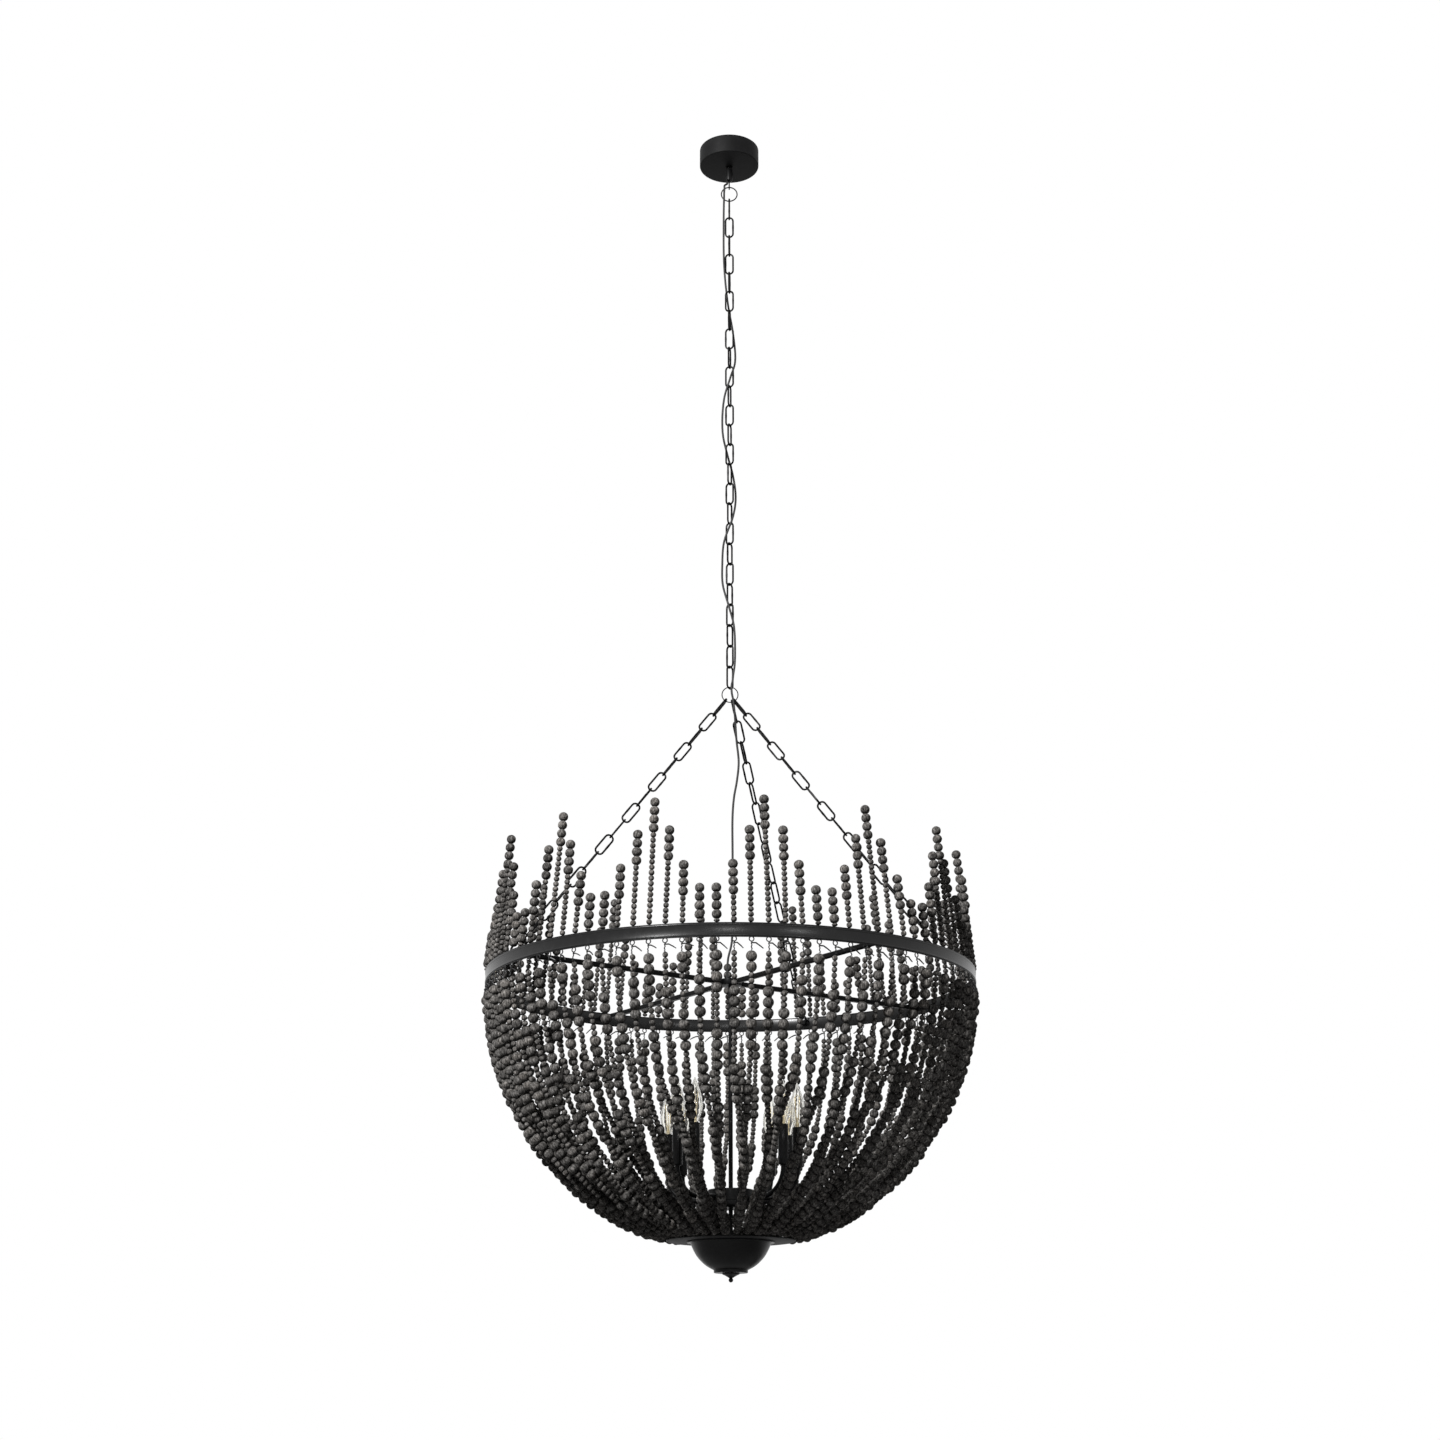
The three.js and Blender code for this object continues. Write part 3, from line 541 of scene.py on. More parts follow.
# Supply cord: the route of the part's source, in metres
GRIP_X = -0.0051
GRIP_BOTTOM = -0.0936
CORD_ROUTE = [
    (GRIP_X, 0, GRIP_BOTTOM - FIT_GAP),
    (GRIP_X, 0, -0.0965),
    (-0.009, -0.0034, -0.1015),
    (-0.012, -0.0064, -0.1065),
    (-0.0122, -0.0066, -0.1098),
    (-0.0122, -0.0064, -0.1128),
    (-0.0124, -0.0054, -0.118),
    (-0.013, -0.0045, -0.128),
    (-0.0132, -0.0046, -0.1461),
    (-0.0134, -0.0048, -0.1491),
    (-0.0144, -0.002, -0.2305),
    (-0.013, 0.007, -0.3311),
    (-0.004, 0.0129, -0.4316),
    (0.0096, 0.011, -0.5222),
    (0.0139, 0, -0.6026),
    (0.002, -0.0138, -0.6529),
    (-0.0136, -0.006, -0.7082),
    (-0.017, 0.004, -0.7937),
    (-0.004, 0.0146, -0.8541),
    (0.008, 0.0132, -0.9043),
    (0.0146, 0.005, -0.9647),
    (0.008, -0.015, -1.025),
    (-0.014, -0.012, -1.0914),
    (-0.018, -0.004, -1.1457),
    (-0.017, -0.008, -1.198),
    (-0.004, -0.017, -1.2523),
    (0.009, -0.0146, -1.3036),
    (0.012, -0.0128, -1.3569),
    (0.011, -0.0135, -1.4052),
    (0.008, -0.0148, -1.4273),
    (0.006, -0.0152, -1.4444),
    (0.0035, -0.0148, -1.4575),
    (0.004, -0.0142, JUNCTION_CENTRE + 0.0015),
    (0.0043, -0.0141, JUNCTION_CENTRE - 0.0015),
    (0.0075, -0.0136, -1.4927),
    (0.0105, -0.012, -1.5199),
    (0.012, -0.008, -1.541),
    (0.015, -0.002, -1.587),
    (0.02, 0, -1.64),
    (0.0156, 0, -1.6864),
    (0.009, 0, -1.7248),
    (0.0055, 0, -1.7702),
    (0.0054, 0, -1.8812),
    (0.0034, 0, -2.0649),
    (-0.005, -0.002, -2.1042),
    (-0.007, -0.002, -2.1294),
    (-0.007, -0.002, RING + HUB_PLATE_HEIGHT / 2 + FIT_GAP),
]
# Stretches of the cord: first and last point, its two bodies, where it starts and ends its turn
# between them, and the CAD node it stands for
CORD_STRETCHES = [
    (0, 7, "ceiling_fixing", "top_link", -0.101, -0.122, "cord_stub"),
    (7, 16, "top_link", "chain", -0.137, -0.158, "cord_at_top_ring"),
    (16, 33, "chain", "junction", -1.4475, -1.4685, "cord_on_chain"),
    (33, 46, "junction", "light", -1.480, -1.5015, "cord_drop"),
]


def catmull_rom(points, first, last, steps):
    """The smooth line through the points from first to last, evenly stepped between each two."""
    places = [np.array(p, float) for p in points]
    line = []
    for index in range(first, last):
        p1, p2 = places[index], places[index + 1]
        p0 = places[index - 1] if index else 2 * p1 - p2
        p3 = places[index + 2] if index + 2 < len(places) else 2 * p2 - p1
        d01, d12, d23 = (math.sqrt(np.linalg.norm(b - a)) for a, b in ((p0, p1), (p1, p2), (p2, p3)))
        m1 = p2 - p1 + d12 * ((p1 - p0) / d01 - (p2 - p0) / (d01 + d12))
        m2 = p2 - p1 + d12 * ((p3 - p2) / d23 - (p3 - p1) / (d12 + d23))
        for step in range(steps):
            t = step / steps
            line.append(
                (2 * t**3 - 3 * t**2 + 1) * p1
                + (t**3 - 2 * t**2 + t) * m1
                + (3 * t**2 - 2 * t**3) * p2
                + (t**3 - t**2) * m2
            )
    line.append(places[last])
    return line


for number, (first, last, body_a, body_b, turn_start, turn_end, node) in enumerate(CORD_STRETCHES, 1):
    line = catmull_rom(CORD_ROUTE, first, last, 6)
    skin = Skin().take(sweep(line, CORD_DIAMETER / 2, 14))
    cord_piece = skin.piece(f"supply_cord_{number}", None, CORD, "cord_skin", (node,))
    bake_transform(cord_piece)


# Canopy, boss, loop and grip
CANOPY_RADIUS = 0.075
CANOPY_HEIGHT = 0.048
CANOPY_WALL = 0.0016
CANOPY_TOP = -0.0002
CANOPY_ROUND = 0.0032
NIPPLE_HOLE = 0.0053
BOSS_RADIUS = 0.0085
BOSS_GROOVE = 0.0008
GRIP_RADIUS = 0.0031

canopy_outline = [
    (NIPPLE_HOLE, -CANOPY_HEIGHT),
    (CANOPY_RADIUS, -CANOPY_HEIGHT),
    (CANOPY_RADIUS, CANOPY_TOP),
    (CANOPY_RADIUS - CANOPY_WALL, CANOPY_TOP),
    (CANOPY_RADIUS - CANOPY_WALL, -CANOPY_HEIGHT + CANOPY_WALL),
    (NIPPLE_HOLE, -CANOPY_HEIGHT + CANOPY_WALL),
]
canopy = Skin()
canopy.take(lathe(rounded(canopy_outline, CANOPY_ROUND, 5, closed=True), 128, closed=True))
canopy.piece("canopy_shell", "ceiling_fixing", SATIN, "black_satin", ("canopy",), sharp=50)

boss = Skin()
boss_outline = [
    (0, BOSS_BOTTOM + 0.030),
    (0.0049, BOSS_BOTTOM + 0.0392),
    (BOSS_RADIUS, BOSS_BOTTOM + 0.0397),
    (BOSS_RADIUS, BOSS_BOTTOM + 0.0330),
    (BOSS_RADIUS - BOSS_GROOVE, BOSS_BOTTOM + 0.0325),
    (BOSS_RADIUS - BOSS_GROOVE, BOSS_BOTTOM + 0.0315),
    (BOSS_RADIUS, BOSS_BOTTOM + 0.0310),
    (BOSS_RADIUS, BOSS_BOTTOM),
    (0.0021, BOSS_BOTTOM),
    (0, BOSS_BOTTOM + 0.0058),
]
boss.take(lathe(rounded(boss_outline[::-1], 0.0008, 2), 48))
boss.piece("boss", "ceiling_fixing", GLOSS, "black_gloss", ("hanger_boss",))

loop_across = np.array([0.0, 1.0, 0.0])
loop = Skin()
loop_line = circle(np.array([0, 0, LOOP_CENTRE]), LOOP_RADIUS, loop_across, UP, 40)
loop.take(sweep(loop_line, LOOP_WIRE / 2, 12, closed=True))
loop.take(sweep([(0, 0, LOOP_CENTRE + LOOP_RADIUS), (0, 0, BOSS_BOTTOM + 0.0055)], LOOP_WIRE / 2, 12))
loop.piece("loop", "ceiling_fixing", GLOSS, "black_gloss", ("hanger_loop",))

grip = Skin()
grip_outline = [
    (0, BOSS_BOTTOM - FIT_GAP),
    (GRIP_RADIUS, BOSS_BOTTOM - FIT_GAP),
    (GRIP_RADIUS, BOSS_BOTTOM - 0.0022),
    (0.0027, GRIP_BOTTOM),
    (0, GRIP_BOTTOM),
]
grip.take(lathe(grip_outline[::-1], 24, (GRIP_X, 0)))
grip.piece("cord_grip_sleeve", "ceiling_fixing", GLOSS, "black_gloss", ("cord_grip",))


# Rings and chains
def ring_of_wire(name, body, radius, wire, centre_z, node):
    across = np.array([1.0, 0.0, 0.0])
    ring = Skin()
    ring.take(sweep(circle(np.array([0, 0, centre_z]), radius, across, UP, 56), wire / 2, 12, closed=True))
    ring.piece(name, body, IRON, "dark_iron", (node,))


ring_of_wire("split_ring", "top_link", TOP_RING_RADIUS, TOP_RING_WIRE, TOP_RING_CENTRE, "top_ring")
ring_of_wire(
    "joining_ring", "junction", JUNCTION_RADIUS, JUNCTION_WIRE, JUNCTION_CENTRE, "junction_ring"
)

LINK_ARC_STEPS = 8
LINK_SIDE_STEPS = 4
LINK_WELD = 1.16
# The links are drawn thicker than LINK_WIRE, which their places come from
SHOWN_WIRE = 0.0045


def link_shape(centre, across, up, pitch):
    """One long link: two straight sides and round ends, with its weld in the middle of one side."""
    half_width = (LINK_WIDTH - LINK_WIRE) / 2
    half_straight = (pitch + LINK_WIRE) / 2 - half_width
    path, radii = [], []
    for side in (1, -1):
        for step in range(LINK_ARC_STEPS + 1):
            angle = math.pi * step / LINK_ARC_STEPS
            x = side * half_width * math.cos(angle)
            z = side * (half_straight + half_width * math.sin(angle))
            path.append(centre + across * x + up * z)
            radii.append(SHOWN_WIRE / 2)
        for step in range(1, LINK_SIDE_STEPS):
            z = side * half_straight * (1 - 2 * step / LINK_SIDE_STEPS)
            path.append(centre - across * side * half_width + up * z)
            swollen = side > 0 and step == LINK_SIDE_STEPS // 2
            radii.append(SHOWN_WIRE / 2 * (LINK_WELD if swollen else 1))
    return sweep(path, radii, 8, closed=True)


def chain_skin(start, heading, first_normal, count, pitch, twist):
    skin = Skin()
    first_centre = (pitch + LINK_WIRE - LINK_BITE) / 2
    for index in range(count):
        turn = index * FULL / 4 + twist * index / (count - 1)
        normal = turned(first_normal, heading, turn)
        across = np.cross(normal, -heading)
        centre = start + heading * (first_centre + index * pitch)
        skin.take(link_shape(centre, across, -heading, pitch), tone=chance.random())
    return skin


main_start = np.array([0.0, 0.0, CHAIN_TOP])
main_skin = chain_skin(main_start, -UP, np.array([1.0, 0.0, 0.0]), MAIN_LINKS, LINK_PITCH, MAIN_TWIST)
main_skin.piece("long_chain", "chain", IRON, "dark_iron", ("main_chain",))

EYE_PLACE = RING_RADIUS - BAND_THICKNESS - EYE_INSET
EYE_TOP_WIRE = RING + EYE_RISE + EYE_RADIUS
SETTLE_ROUNDS = 4


def leg_skin(angle):
    """Each leg hangs where the joining ring's wire lies square to it, and ends upright in its eye."""
    eye = polar(EYE_PLACE, angle, EYE_TOP_WIRE)
    centre = np.array([0.0, 0.0, JUNCTION_CENTRE])
    heading = unit(eye - centre)
    for _ in range(SETTLE_ROUNDS):
        swing = math.atan2(heading[0], -heading[2])
        hang = centre + JUNCTION_RADIUS * np.array([math.sin(swing), 0, -math.cos(swing)])
        heading = unit(eye - hang)
    swing = math.atan2(heading[0], -heading[2])
    first_normal = np.array([math.cos(swing), 0, math.sin(swing)])
    first_normal = unit(first_normal - heading * (first_normal @ heading))
    start = hang - heading * ((JUNCTION_WIRE + LINK_WIRE) / 2 + LINK_PLAY)
    end = eye + heading * ((EYE_WIRE + LINK_WIRE) / 2 + LINK_PLAY)
    pitch = (np.linalg.norm(end - start) - LINK_WIRE + LINK_BITE) / LEG_LINKS
    last_normal = along_ring(angle)
    between = math.atan2(np.cross(first_normal, last_normal) @ heading, first_normal @ last_normal)
    left = between - (LEG_LINKS - 1) * FULL / 4
    twist = left - math.pi * round(left / math.pi)
    return chain_skin(start, heading, first_normal, LEG_LINKS, pitch, twist)


for number, leg_angle in enumerate(LEG_ANGLES, 1):
    leg_skin(leg_angle).piece(
        f"leg_links_{number}", "light", IRON, "dark_iron", (f"leg_chain_{number}",)
    )


# Main ring: a flat band with rolled edges, its eyes and the cross
RING_FACETS = 56
WELD_PLACES = (-0.0045, -0.0015, 0.0015, 0.0045)
EYE_WELD = (0.0021, 0.0014, 0.0014)
BAR_WELD = (0.0022, 0.0017, 0.0016)
BAR_BEVEL = 0.0014
FOOT_WIDTH, FOOT_HEIGHT, FOOT_BEVEL = 0.012, 0.010, 0.0012
EDGE_HEIGHT, EDGE_FOOT, EDGE_RISE = 0.0026, 0.0032, 0.0009

band_outline = [
    (RING_RADIUS - BAND_THICKNESS, BAND_BOTTOM),
    (RING_RADIUS, BAND_BOTTOM),
    (RING_RADIUS, BAND_BOTTOM + EDGE_HEIGHT),
    (RING_RADIUS - EDGE_RISE, BAND_BOTTOM + EDGE_FOOT),
    (RING_RADIUS - EDGE_RISE, BAND_TOP - EDGE_FOOT),
    (RING_RADIUS, BAND_TOP - EDGE_HEIGHT),
    (RING_RADIUS, BAND_TOP),
    (RING_RADIUS - BAND_THICKNESS, BAND_TOP),
]
band = Skin()
band.take(lathe(rounded(band_outline, 0.0005, 2, closed=True), 240, closed=True))
band.piece("ring_band", "light", BAND, "dark_iron", ("main_ring",), sharp=50)

eyes = Skin()
for leg_angle in LEG_ANGLES:
    outward = polar(1, leg_angle, 0)
    sideways = along_ring(leg_angle)
    eye_centre = polar(EYE_PLACE, leg_angle, EYE_TOP_WIRE - EYE_RADIUS)
    eyes.take(sweep(circle(eye_centre, EYE_RADIUS, sideways, UP, 28), EYE_WIRE / 2, 10, closed=True))
    reach = EYE_INSET + EYE_WIRE / 2 - FIT_GAP
    foot_centre = polar(EYE_PLACE - EYE_WIRE / 2 + reach / 2, leg_angle, RING)
    eyes.take(box_bar(reach, FOOT_WIDTH, FOOT_HEIGHT, FOOT_BEVEL, sideways, outward, UP, foot_centre))
    for place in WELD_PLACES:
        weld = polar(RING_RADIUS - BAND_THICKNESS, leg_angle, RING + FOOT_HEIGHT / 2) + sideways * place
        eyes.take(blob(weld, sideways, outward, UP, EYE_WELD))
eyes.piece("ring_eyes", "light", IRON, "dark_iron")

cross = Skin()
BAR_LENGTH = 2 * ((RING_RADIUS - BAND_THICKNESS) * math.cos(FULL / RING_FACETS / 2) - FIT_GAP)
for turn in (CROSS_TURN, CROSS_TURN + FULL / 4):
    bar_along = along_ring(turn)
    bar_across = np.array([-math.sin(turn), math.cos(turn), 0])
    bar_centre = np.array([0, 0, RING])
    cross.take(box_bar(BAR_LENGTH, BAR_WIDTH, BAR_HEIGHT, BAR_BEVEL, bar_across, bar_along, UP, bar_centre))
    for end in (-1, 1):
        for place in WELD_PLACES:
            for height in (-BAR_HEIGHT / 2, BAR_HEIGHT / 2):
                weld = bar_along * end * (BAR_LENGTH / 2 - 0.0006) + bar_across * place
                weld = weld + UP * (RING + height)
                cross.take(blob(weld, bar_across, bar_along, UP, BAR_WELD))
plate_outline = rod(HUB_PLATE_RADIUS, RING - HUB_PLATE_HEIGHT / 2, RING + HUB_PLATE_HEIGHT / 2)
cross.take(lathe(rounded(plate_outline, 0.0016, 3), 56))
cross.piece("cross_bars", "light", IRON, "dark_iron", ("cross_frame",))


# Centre tube, lamp hub, arms, sleeves and bulbs
tube_low, tube_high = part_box("centre_tube")
tube = Skin()
tube.take(lathe(rod(TUBE_DIAMETER / 2, tube_low.z, tube_high.z), 32))
tube.piece("stem", "light", SATIN, "dark_iron", ("centre_tube",))

hub_low, hub_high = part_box("lamp_hub")
HUB_RADIUS = 0.050
HUB_STEP = 0.004
SEAM_DEPTH = 0.0007
HUB_SEAM = hub_high.z - 0.0262
hub_outline = [
    (TUBE_HOLE, hub_low.z),
    (HUB_RADIUS - HUB_STEP, hub_low.z),
    (HUB_RADIUS - HUB_STEP, hub_low.z + 0.0028),
    (HUB_RADIUS, hub_low.z + 0.0034),
    (HUB_RADIUS, HUB_SEAM - 0.0006),
    (HUB_RADIUS - SEAM_DEPTH, HUB_SEAM - 0.0003),
    (HUB_RADIUS - SEAM_DEPTH, HUB_SEAM + 0.0003),
    (HUB_RADIUS, HUB_SEAM + 0.0006),
    (HUB_RADIUS, hub_high.z),
    (TUBE_HOLE, hub_high.z),
]
hub = Skin()
hub.take(lathe(rounded(hub_outline, 0.0016, 3, closed=True), 96, closed=True))
hub.piece("hub", "light", GLOSS, "black_gloss", ("lamp_hub",), sharp=50)

ARM_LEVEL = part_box("lamp_arm_1")[0].z + ARM_DIAMETER / 2
sleeve_low, sleeve_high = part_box("candle_sleeve_1")
SLEEVE_BOTTOM, SLEEVE_TOP = sleeve_low.z, sleeve_high.z
ARM_STEPS = 10
COLLAR_RADIUS = 0.0072
COLLAR_DROP = 0.0028
SCREW_TURNS = 8
SCREW_PITCH = 0.0023
GLASS_WALL = 0.0007
BULB_BASE = SLEEVE_TOP + 0.0004
SOCKET_RADIUS = 0.0076
SOCKET_FLOOR = SLEEVE_TOP - 0.0218
BULB_SHARES = [
    (0.42, 0.0),
    (0.47, 0.03),
    (0.58, 0.09),
    (0.80, 0.19),
    (0.955, 0.29),
    (0.995, 0.36),
    (0.975, 0.44),
    (0.90, 0.53),
    (0.77, 0.63),
    (0.62, 0.72),
    (0.46, 0.80),
    (0.31, 0.87),
    (0.19, 0.925),
    (0.115, 0.96),
    (0.06, 0.985),
    (0.0, 1.0),
]


def arm_path(angle):
    path = [polar(HUB_RADIUS - 0.001, angle, ARM_LEVEL), polar(0.07, angle, ARM_LEVEL)]
    for step in range(ARM_STEPS + 1):
        bend = FULL / 4 * step / ARM_STEPS
        reach = LAMP_CIRCLE - ARM_BEND + ARM_BEND * math.sin(bend)
        path.append(polar(reach, angle, ARM_LEVEL + ARM_BEND * (1 - math.cos(bend))))
    path.append(polar(LAMP_CIRCLE, angle, SLEEVE_BOTTOM - FIT_GAP))
    return path


def bulb_skin(spot):
    """A glass candle with an inner wall."""
    tip = BULB_BASE + BULB_HEIGHT - 3 * GLASS_WALL
    outside = [(BULB_RADIUS * wide, BULB_BASE + BULB_HEIGHT * high) for wide, high in BULB_SHARES]
    inside = [
        (max(radius - GLASS_WALL, 0), min(z, tip))
        for radius, z in outside
        if radius > GLASS_WALL * 1.5
    ]
    inside.append((0, tip))
    return Skin().take(lathe(outside + inside[::-1] + [outside[0]], 40, spot))


FILAMENT_COUNT = 4
FILAMENT_LOW = 0.016
FILAMENT_HIGH = 0.066
FILAMENT_ROD = 0.0008
FILAMENT_LEAD = 0.0003


def filament_skin(spot):
    """Sloping filament rods round a short stem, with their wires."""
    skin = Skin()
    base = BULB_BASE
    foot = [(0, base), (0.0052, base), (0.0038, base + 0.008), (0.0016, base + 0.02), (0, base + 0.021)]
    skin.take(lathe(foot, 16, spot))
    turn = chance.random() * FULL
    for number in range(FILAMENT_COUNT):
        angle = turn + number * FULL / FILAMENT_COUNT
        low = np.array([spot[0], spot[1], 0]) + polar(0.0035, angle, base + FILAMENT_LOW)
        high = np.array([spot[0], spot[1], 0]) + polar(0.0068, angle + 0.5, base + FILAMENT_HIGH)
        skin.take(sweep([low, (low + high) / 2, high], FILAMENT_ROD, 8))
        tip = np.array([spot[0], spot[1], base + FILAMENT_HIGH + 0.004])
        skin.take(sweep([high, (high + tip) / 2 + UP * 0.001, tip], FILAMENT_LEAD, 6))
    return skin


for number, lamp_angle in enumerate(LAMP_ANGLES, 1):
    spot = polar(LAMP_CIRCLE, lamp_angle, 0)[:2]
    arm = Skin().take(sweep(arm_path(lamp_angle), ARM_DIAMETER / 2, 20))
    collar_outline = rod(COLLAR_RADIUS, SLEEVE_BOTTOM - COLLAR_DROP, SLEEVE_BOTTOM - FIT_GAP)
    arm.take(lathe(collar_outline, 28, spot))
    arm.piece(f"arm_{number}", "light", GLOSS, "dark_iron", (f"lamp_arm_{number}",))
    sleeve_outline = [
        (0, SLEEVE_BOTTOM),
        (SLEEVE_RADIUS, SLEEVE_BOTTOM),
        (SLEEVE_RADIUS, SLEEVE_TOP),
        (SOCKET_RADIUS, SLEEVE_TOP),
        (SOCKET_RADIUS, SOCKET_FLOOR),
        (0, SOCKET_FLOOR),
    ]
    sleeve = Skin().take(lathe(rounded(sleeve_outline, 0.0007, 2), 40, spot))
    sleeve.piece(f"sleeve_{number}", "light", SLEEVE, "sleeve_black", (f"candle_sleeve_{number}",))
    bulb_skin(spot).piece(
        f"glass_{number}", f"lamp_bulb_{number}", GLASS, "bulb_glass", (f"bulb_{number}",), sharp=0
    )
    filament_skin(spot).piece(f"filament_{number}", f"lamp_bulb_{number}", FILAMENT, "bulb_glass")
    cap_bottom = SLEEVE_TOP - 0.0215
    cap_outline = [(0, cap_bottom), (0.0025, cap_bottom)]
    for thread in range(SCREW_TURNS):
        level = cap_bottom + 0.0025 + thread * SCREW_PITCH
        cap_outline += [(0.0061, level), (0.0068, level + 0.0011)]
    cap_outline += [(0.0069, SLEEVE_TOP + 0.0003), (0, SLEEVE_TOP + 0.0003)]
    cap = Skin().take(lathe(cap_outline, 28, spot))
    cap.piece(f"cap_{number}", f"lamp_bulb_{number}", ZINC, "bulb_glass")


# Strand plate, cup and finial
plate_low, plate_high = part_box("strand_plate")
strand_plate_outline = rod(PLATE_RADIUS, plate_low.z, plate_high.z, TUBE_HOLE)
strand_plate = Skin()
strand_plate.take(lathe(rounded(strand_plate_outline, 0.0009, 2, closed=True), 120, closed=True))
strand_plate.piece("bottom_plate", "light", SATIN, "dark_iron", ("strand_plate",), sharp=50)

CUP_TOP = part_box("bottom_cup")[1].z
CUP_SHARES = [(1, 0), (0.88, 0.25), (0.7, 0.53), (0.36, 0.83), (0, 1)]
CUP_WALL = 0.002
LIP_HEIGHT = 0.006
LIP_BEVEL = 0.0012
RIM_BEVEL = 0.0006


def cup_side(shift):
    """Down the cup's side from under its rim to its lip, with the corners eased."""
    side = []
    for wide, deep in CUP_SHARES:
        radius = CUP_LIP + (CUP_RADIUS - CUP_LIP) * wide - shift
        side.append((radius, CUP_TOP - CUP_RIM_HEIGHT - (CUP_DEPTH - CUP_RIM_HEIGHT - shift) * deep))
    return rounded(side, 0.02, 6)


lip_bottom = CUP_TOP - CUP_DEPTH - LIP_HEIGHT
cup_outline = [
    (TUBE_HOLE, lip_bottom),
    (CUP_LIP - LIP_BEVEL, lip_bottom),
    (CUP_LIP, lip_bottom + LIP_BEVEL),
    (CUP_LIP, lip_bottom + LIP_HEIGHT - 0.0008),
    *cup_side(0)[::-1],
    (CUP_RIM - RIM_BEVEL, CUP_TOP - CUP_RIM_HEIGHT),
    (CUP_RIM, CUP_TOP - CUP_RIM_HEIGHT + RIM_BEVEL),
    (CUP_RIM, CUP_TOP - RIM_BEVEL),
    (CUP_RIM - RIM_BEVEL, CUP_TOP),
    (CUP_RADIUS - CUP_WALL, CUP_TOP),
    *cup_side(CUP_WALL),
    (TUBE_HOLE, CUP_TOP - CUP_DEPTH + CUP_WALL),
]
cup = Skin()
cup.take(lathe(cup_outline, 120, closed=True))
cup.piece("cup", "light", GLOSS, "black_gloss", ("bottom_cup",), sharp=35)

finial_low, finial_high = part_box("finial")
BALL = 0.005
finial_outline = []
ball_centre = finial_low.z + BALL
for step in range(9):
    dip = -FULL / 4 + step * FULL / 4 * 1.55 / 8
    finial_outline.append((BALL * math.cos(dip), ball_centre + BALL * math.sin(dip)))
finial_outline[0] = (0, finial_low.z)
finial_outline += [
    (0.0048, ball_centre + BALL * 0.95),
    (0.0085, finial_high.z - 0.0074),
    (0.0145, finial_high.z - 0.0042),
    (0.0185, finial_high.z - 0.0026),
    (0.019, finial_high.z - 0.0014),
    (0.0186, finial_high.z),
    (0.005, finial_high.z),
    (0.005, finial_high.z - 0.0058),
    (0, finial_high.z - 0.0058),
]
finial = Skin().take(lathe(finial_outline, 48))
finial.piece("finial_knob", "light", GLOSS, "black_gloss", ("finial",))


# Bead strands
STRANDS = 98
PERIOD = 7
CROWN_PARTS = 2
CURTAIN_PARTS = 7
CROWN_LARGE_BEADS = 4
SPINE_RADIUS = RING_RADIUS - BAND_THICKNESS / 2
CROWN_START = math.radians(7.85)
CROWN_LEAN = math.radians(6.4)
CROWN_HEIGHTS = [0.283, 0.215, 0.142, 0.089, 0.089, 0.142, 0.215]
BOWL_RADIUS = 0.547
BOWL_DEPTH = 0.588
BOWL_TURN = math.acos(0.190 / BOWL_RADIUS)
COLUMN_OF = [0, 0, 0, 1, 1, 2, 2]
PLACE_IN_COLUMN = [1, 0, 2, 0, 1, 0, 1]
COLUMN_START = math.radians(12.86)
COLUMN_PITCH = FULL / 42
COLUMN_STEP = 0.018
END_RADIUS = 0.118
HOOP_WIRE = 0.0028
HOOP_STEPS = 240
STRAND_WIRE = 0.0012
HOOK_WIRE = 0.0025
TAIL_WIRE = 0.0032
TWIST_STEPS = 12

# Beads: diameter and height
CROWN_LARGE = (0.0205, 0.0190)
CROWN_SMALL = (0.0124, 0.0114)
BOWL_LARGE = ((0.0230, 0.0214), (0.0212, 0.0205))
BOWL_SMALL = ((0.0122, 0.0117), (0.0138, 0.0128))
BEAD_RUN = [BOWL_LARGE] * 4 + [BOWL_SMALL] * 6
# Where in the run of beads a strand starts, in turn
RUN_STARTS = [4, 2, 6, 0]


def bead_template(sides, rows, hole_share):
    """A turned bead as a closed skin with its bore: the outside is a little flat at both holes."""
    outline = [(hole_share, -0.93)]
    for row in range(rows + 1):
        angle = math.radians(-72 + 144 * row / rows)
        outline.append((math.cos(angle) ** 0.94, math.sin(angle) * 1.045))
    outline.append((hole_share, 0.93))
    points, faces = lathe(outline, sides, closed=True)
    return np.array(points), faces


LARGE_TEMPLATE = bead_template(14, 8, 0.1)
SMALL_TEMPLATE = bead_template(10, 6, 0.18)
# From this share of its half height on, a bead is painted darker towards its holes: painted shade where the
# beads touch
HOLE_SHADE_START = 0.5
TILT = math.radians(3.5)
LARGE_FROM = 0.015
# Shares of a bead's tone that its strand and the bead itself give
STRAND_SHARE, BEAD_SHARE = 0.4, 0.6


def add_bead(skin, centre, axis, size, tone):
    """A bead threaded along axis, turned by chance about it and a little off true."""
    diameter, height = size
    template, faces = LARGE_TEMPLATE if diameter > LARGE_FROM else SMALL_TEMPLATE
    side = unit(np.cross(axis, polar(1, chance.random() * FULL, 0.01)))
    axis = turned(axis, side, (chance.random() - 0.5) * 2 * TILT)
    other = np.cross(axis, side)
    wide = diameter / 2 * (1 + (chance.random() - 0.5) * 0.07)
    oval = 1 + (chance.random() - 0.5) * 0.04
    rows = np.array([side * wide * oval, other * wide, axis * height / 2])
    local = template * [wide, wide, height / 2] + chance.random(3) * 3
    # Painted shade: darker towards both holes, where the neighbouring beads touch
    hole_shade = np.clip((np.abs(template[:, 2]) - HOLE_SHADE_START) / (1 - HOLE_SHADE_START), 0, 1)
    tones = (0.25 + 0.75 * tone) * (1 - 0.85 * hole_shade**1.5)
    skin.add(template @ rows + centre, faces, local, tones)


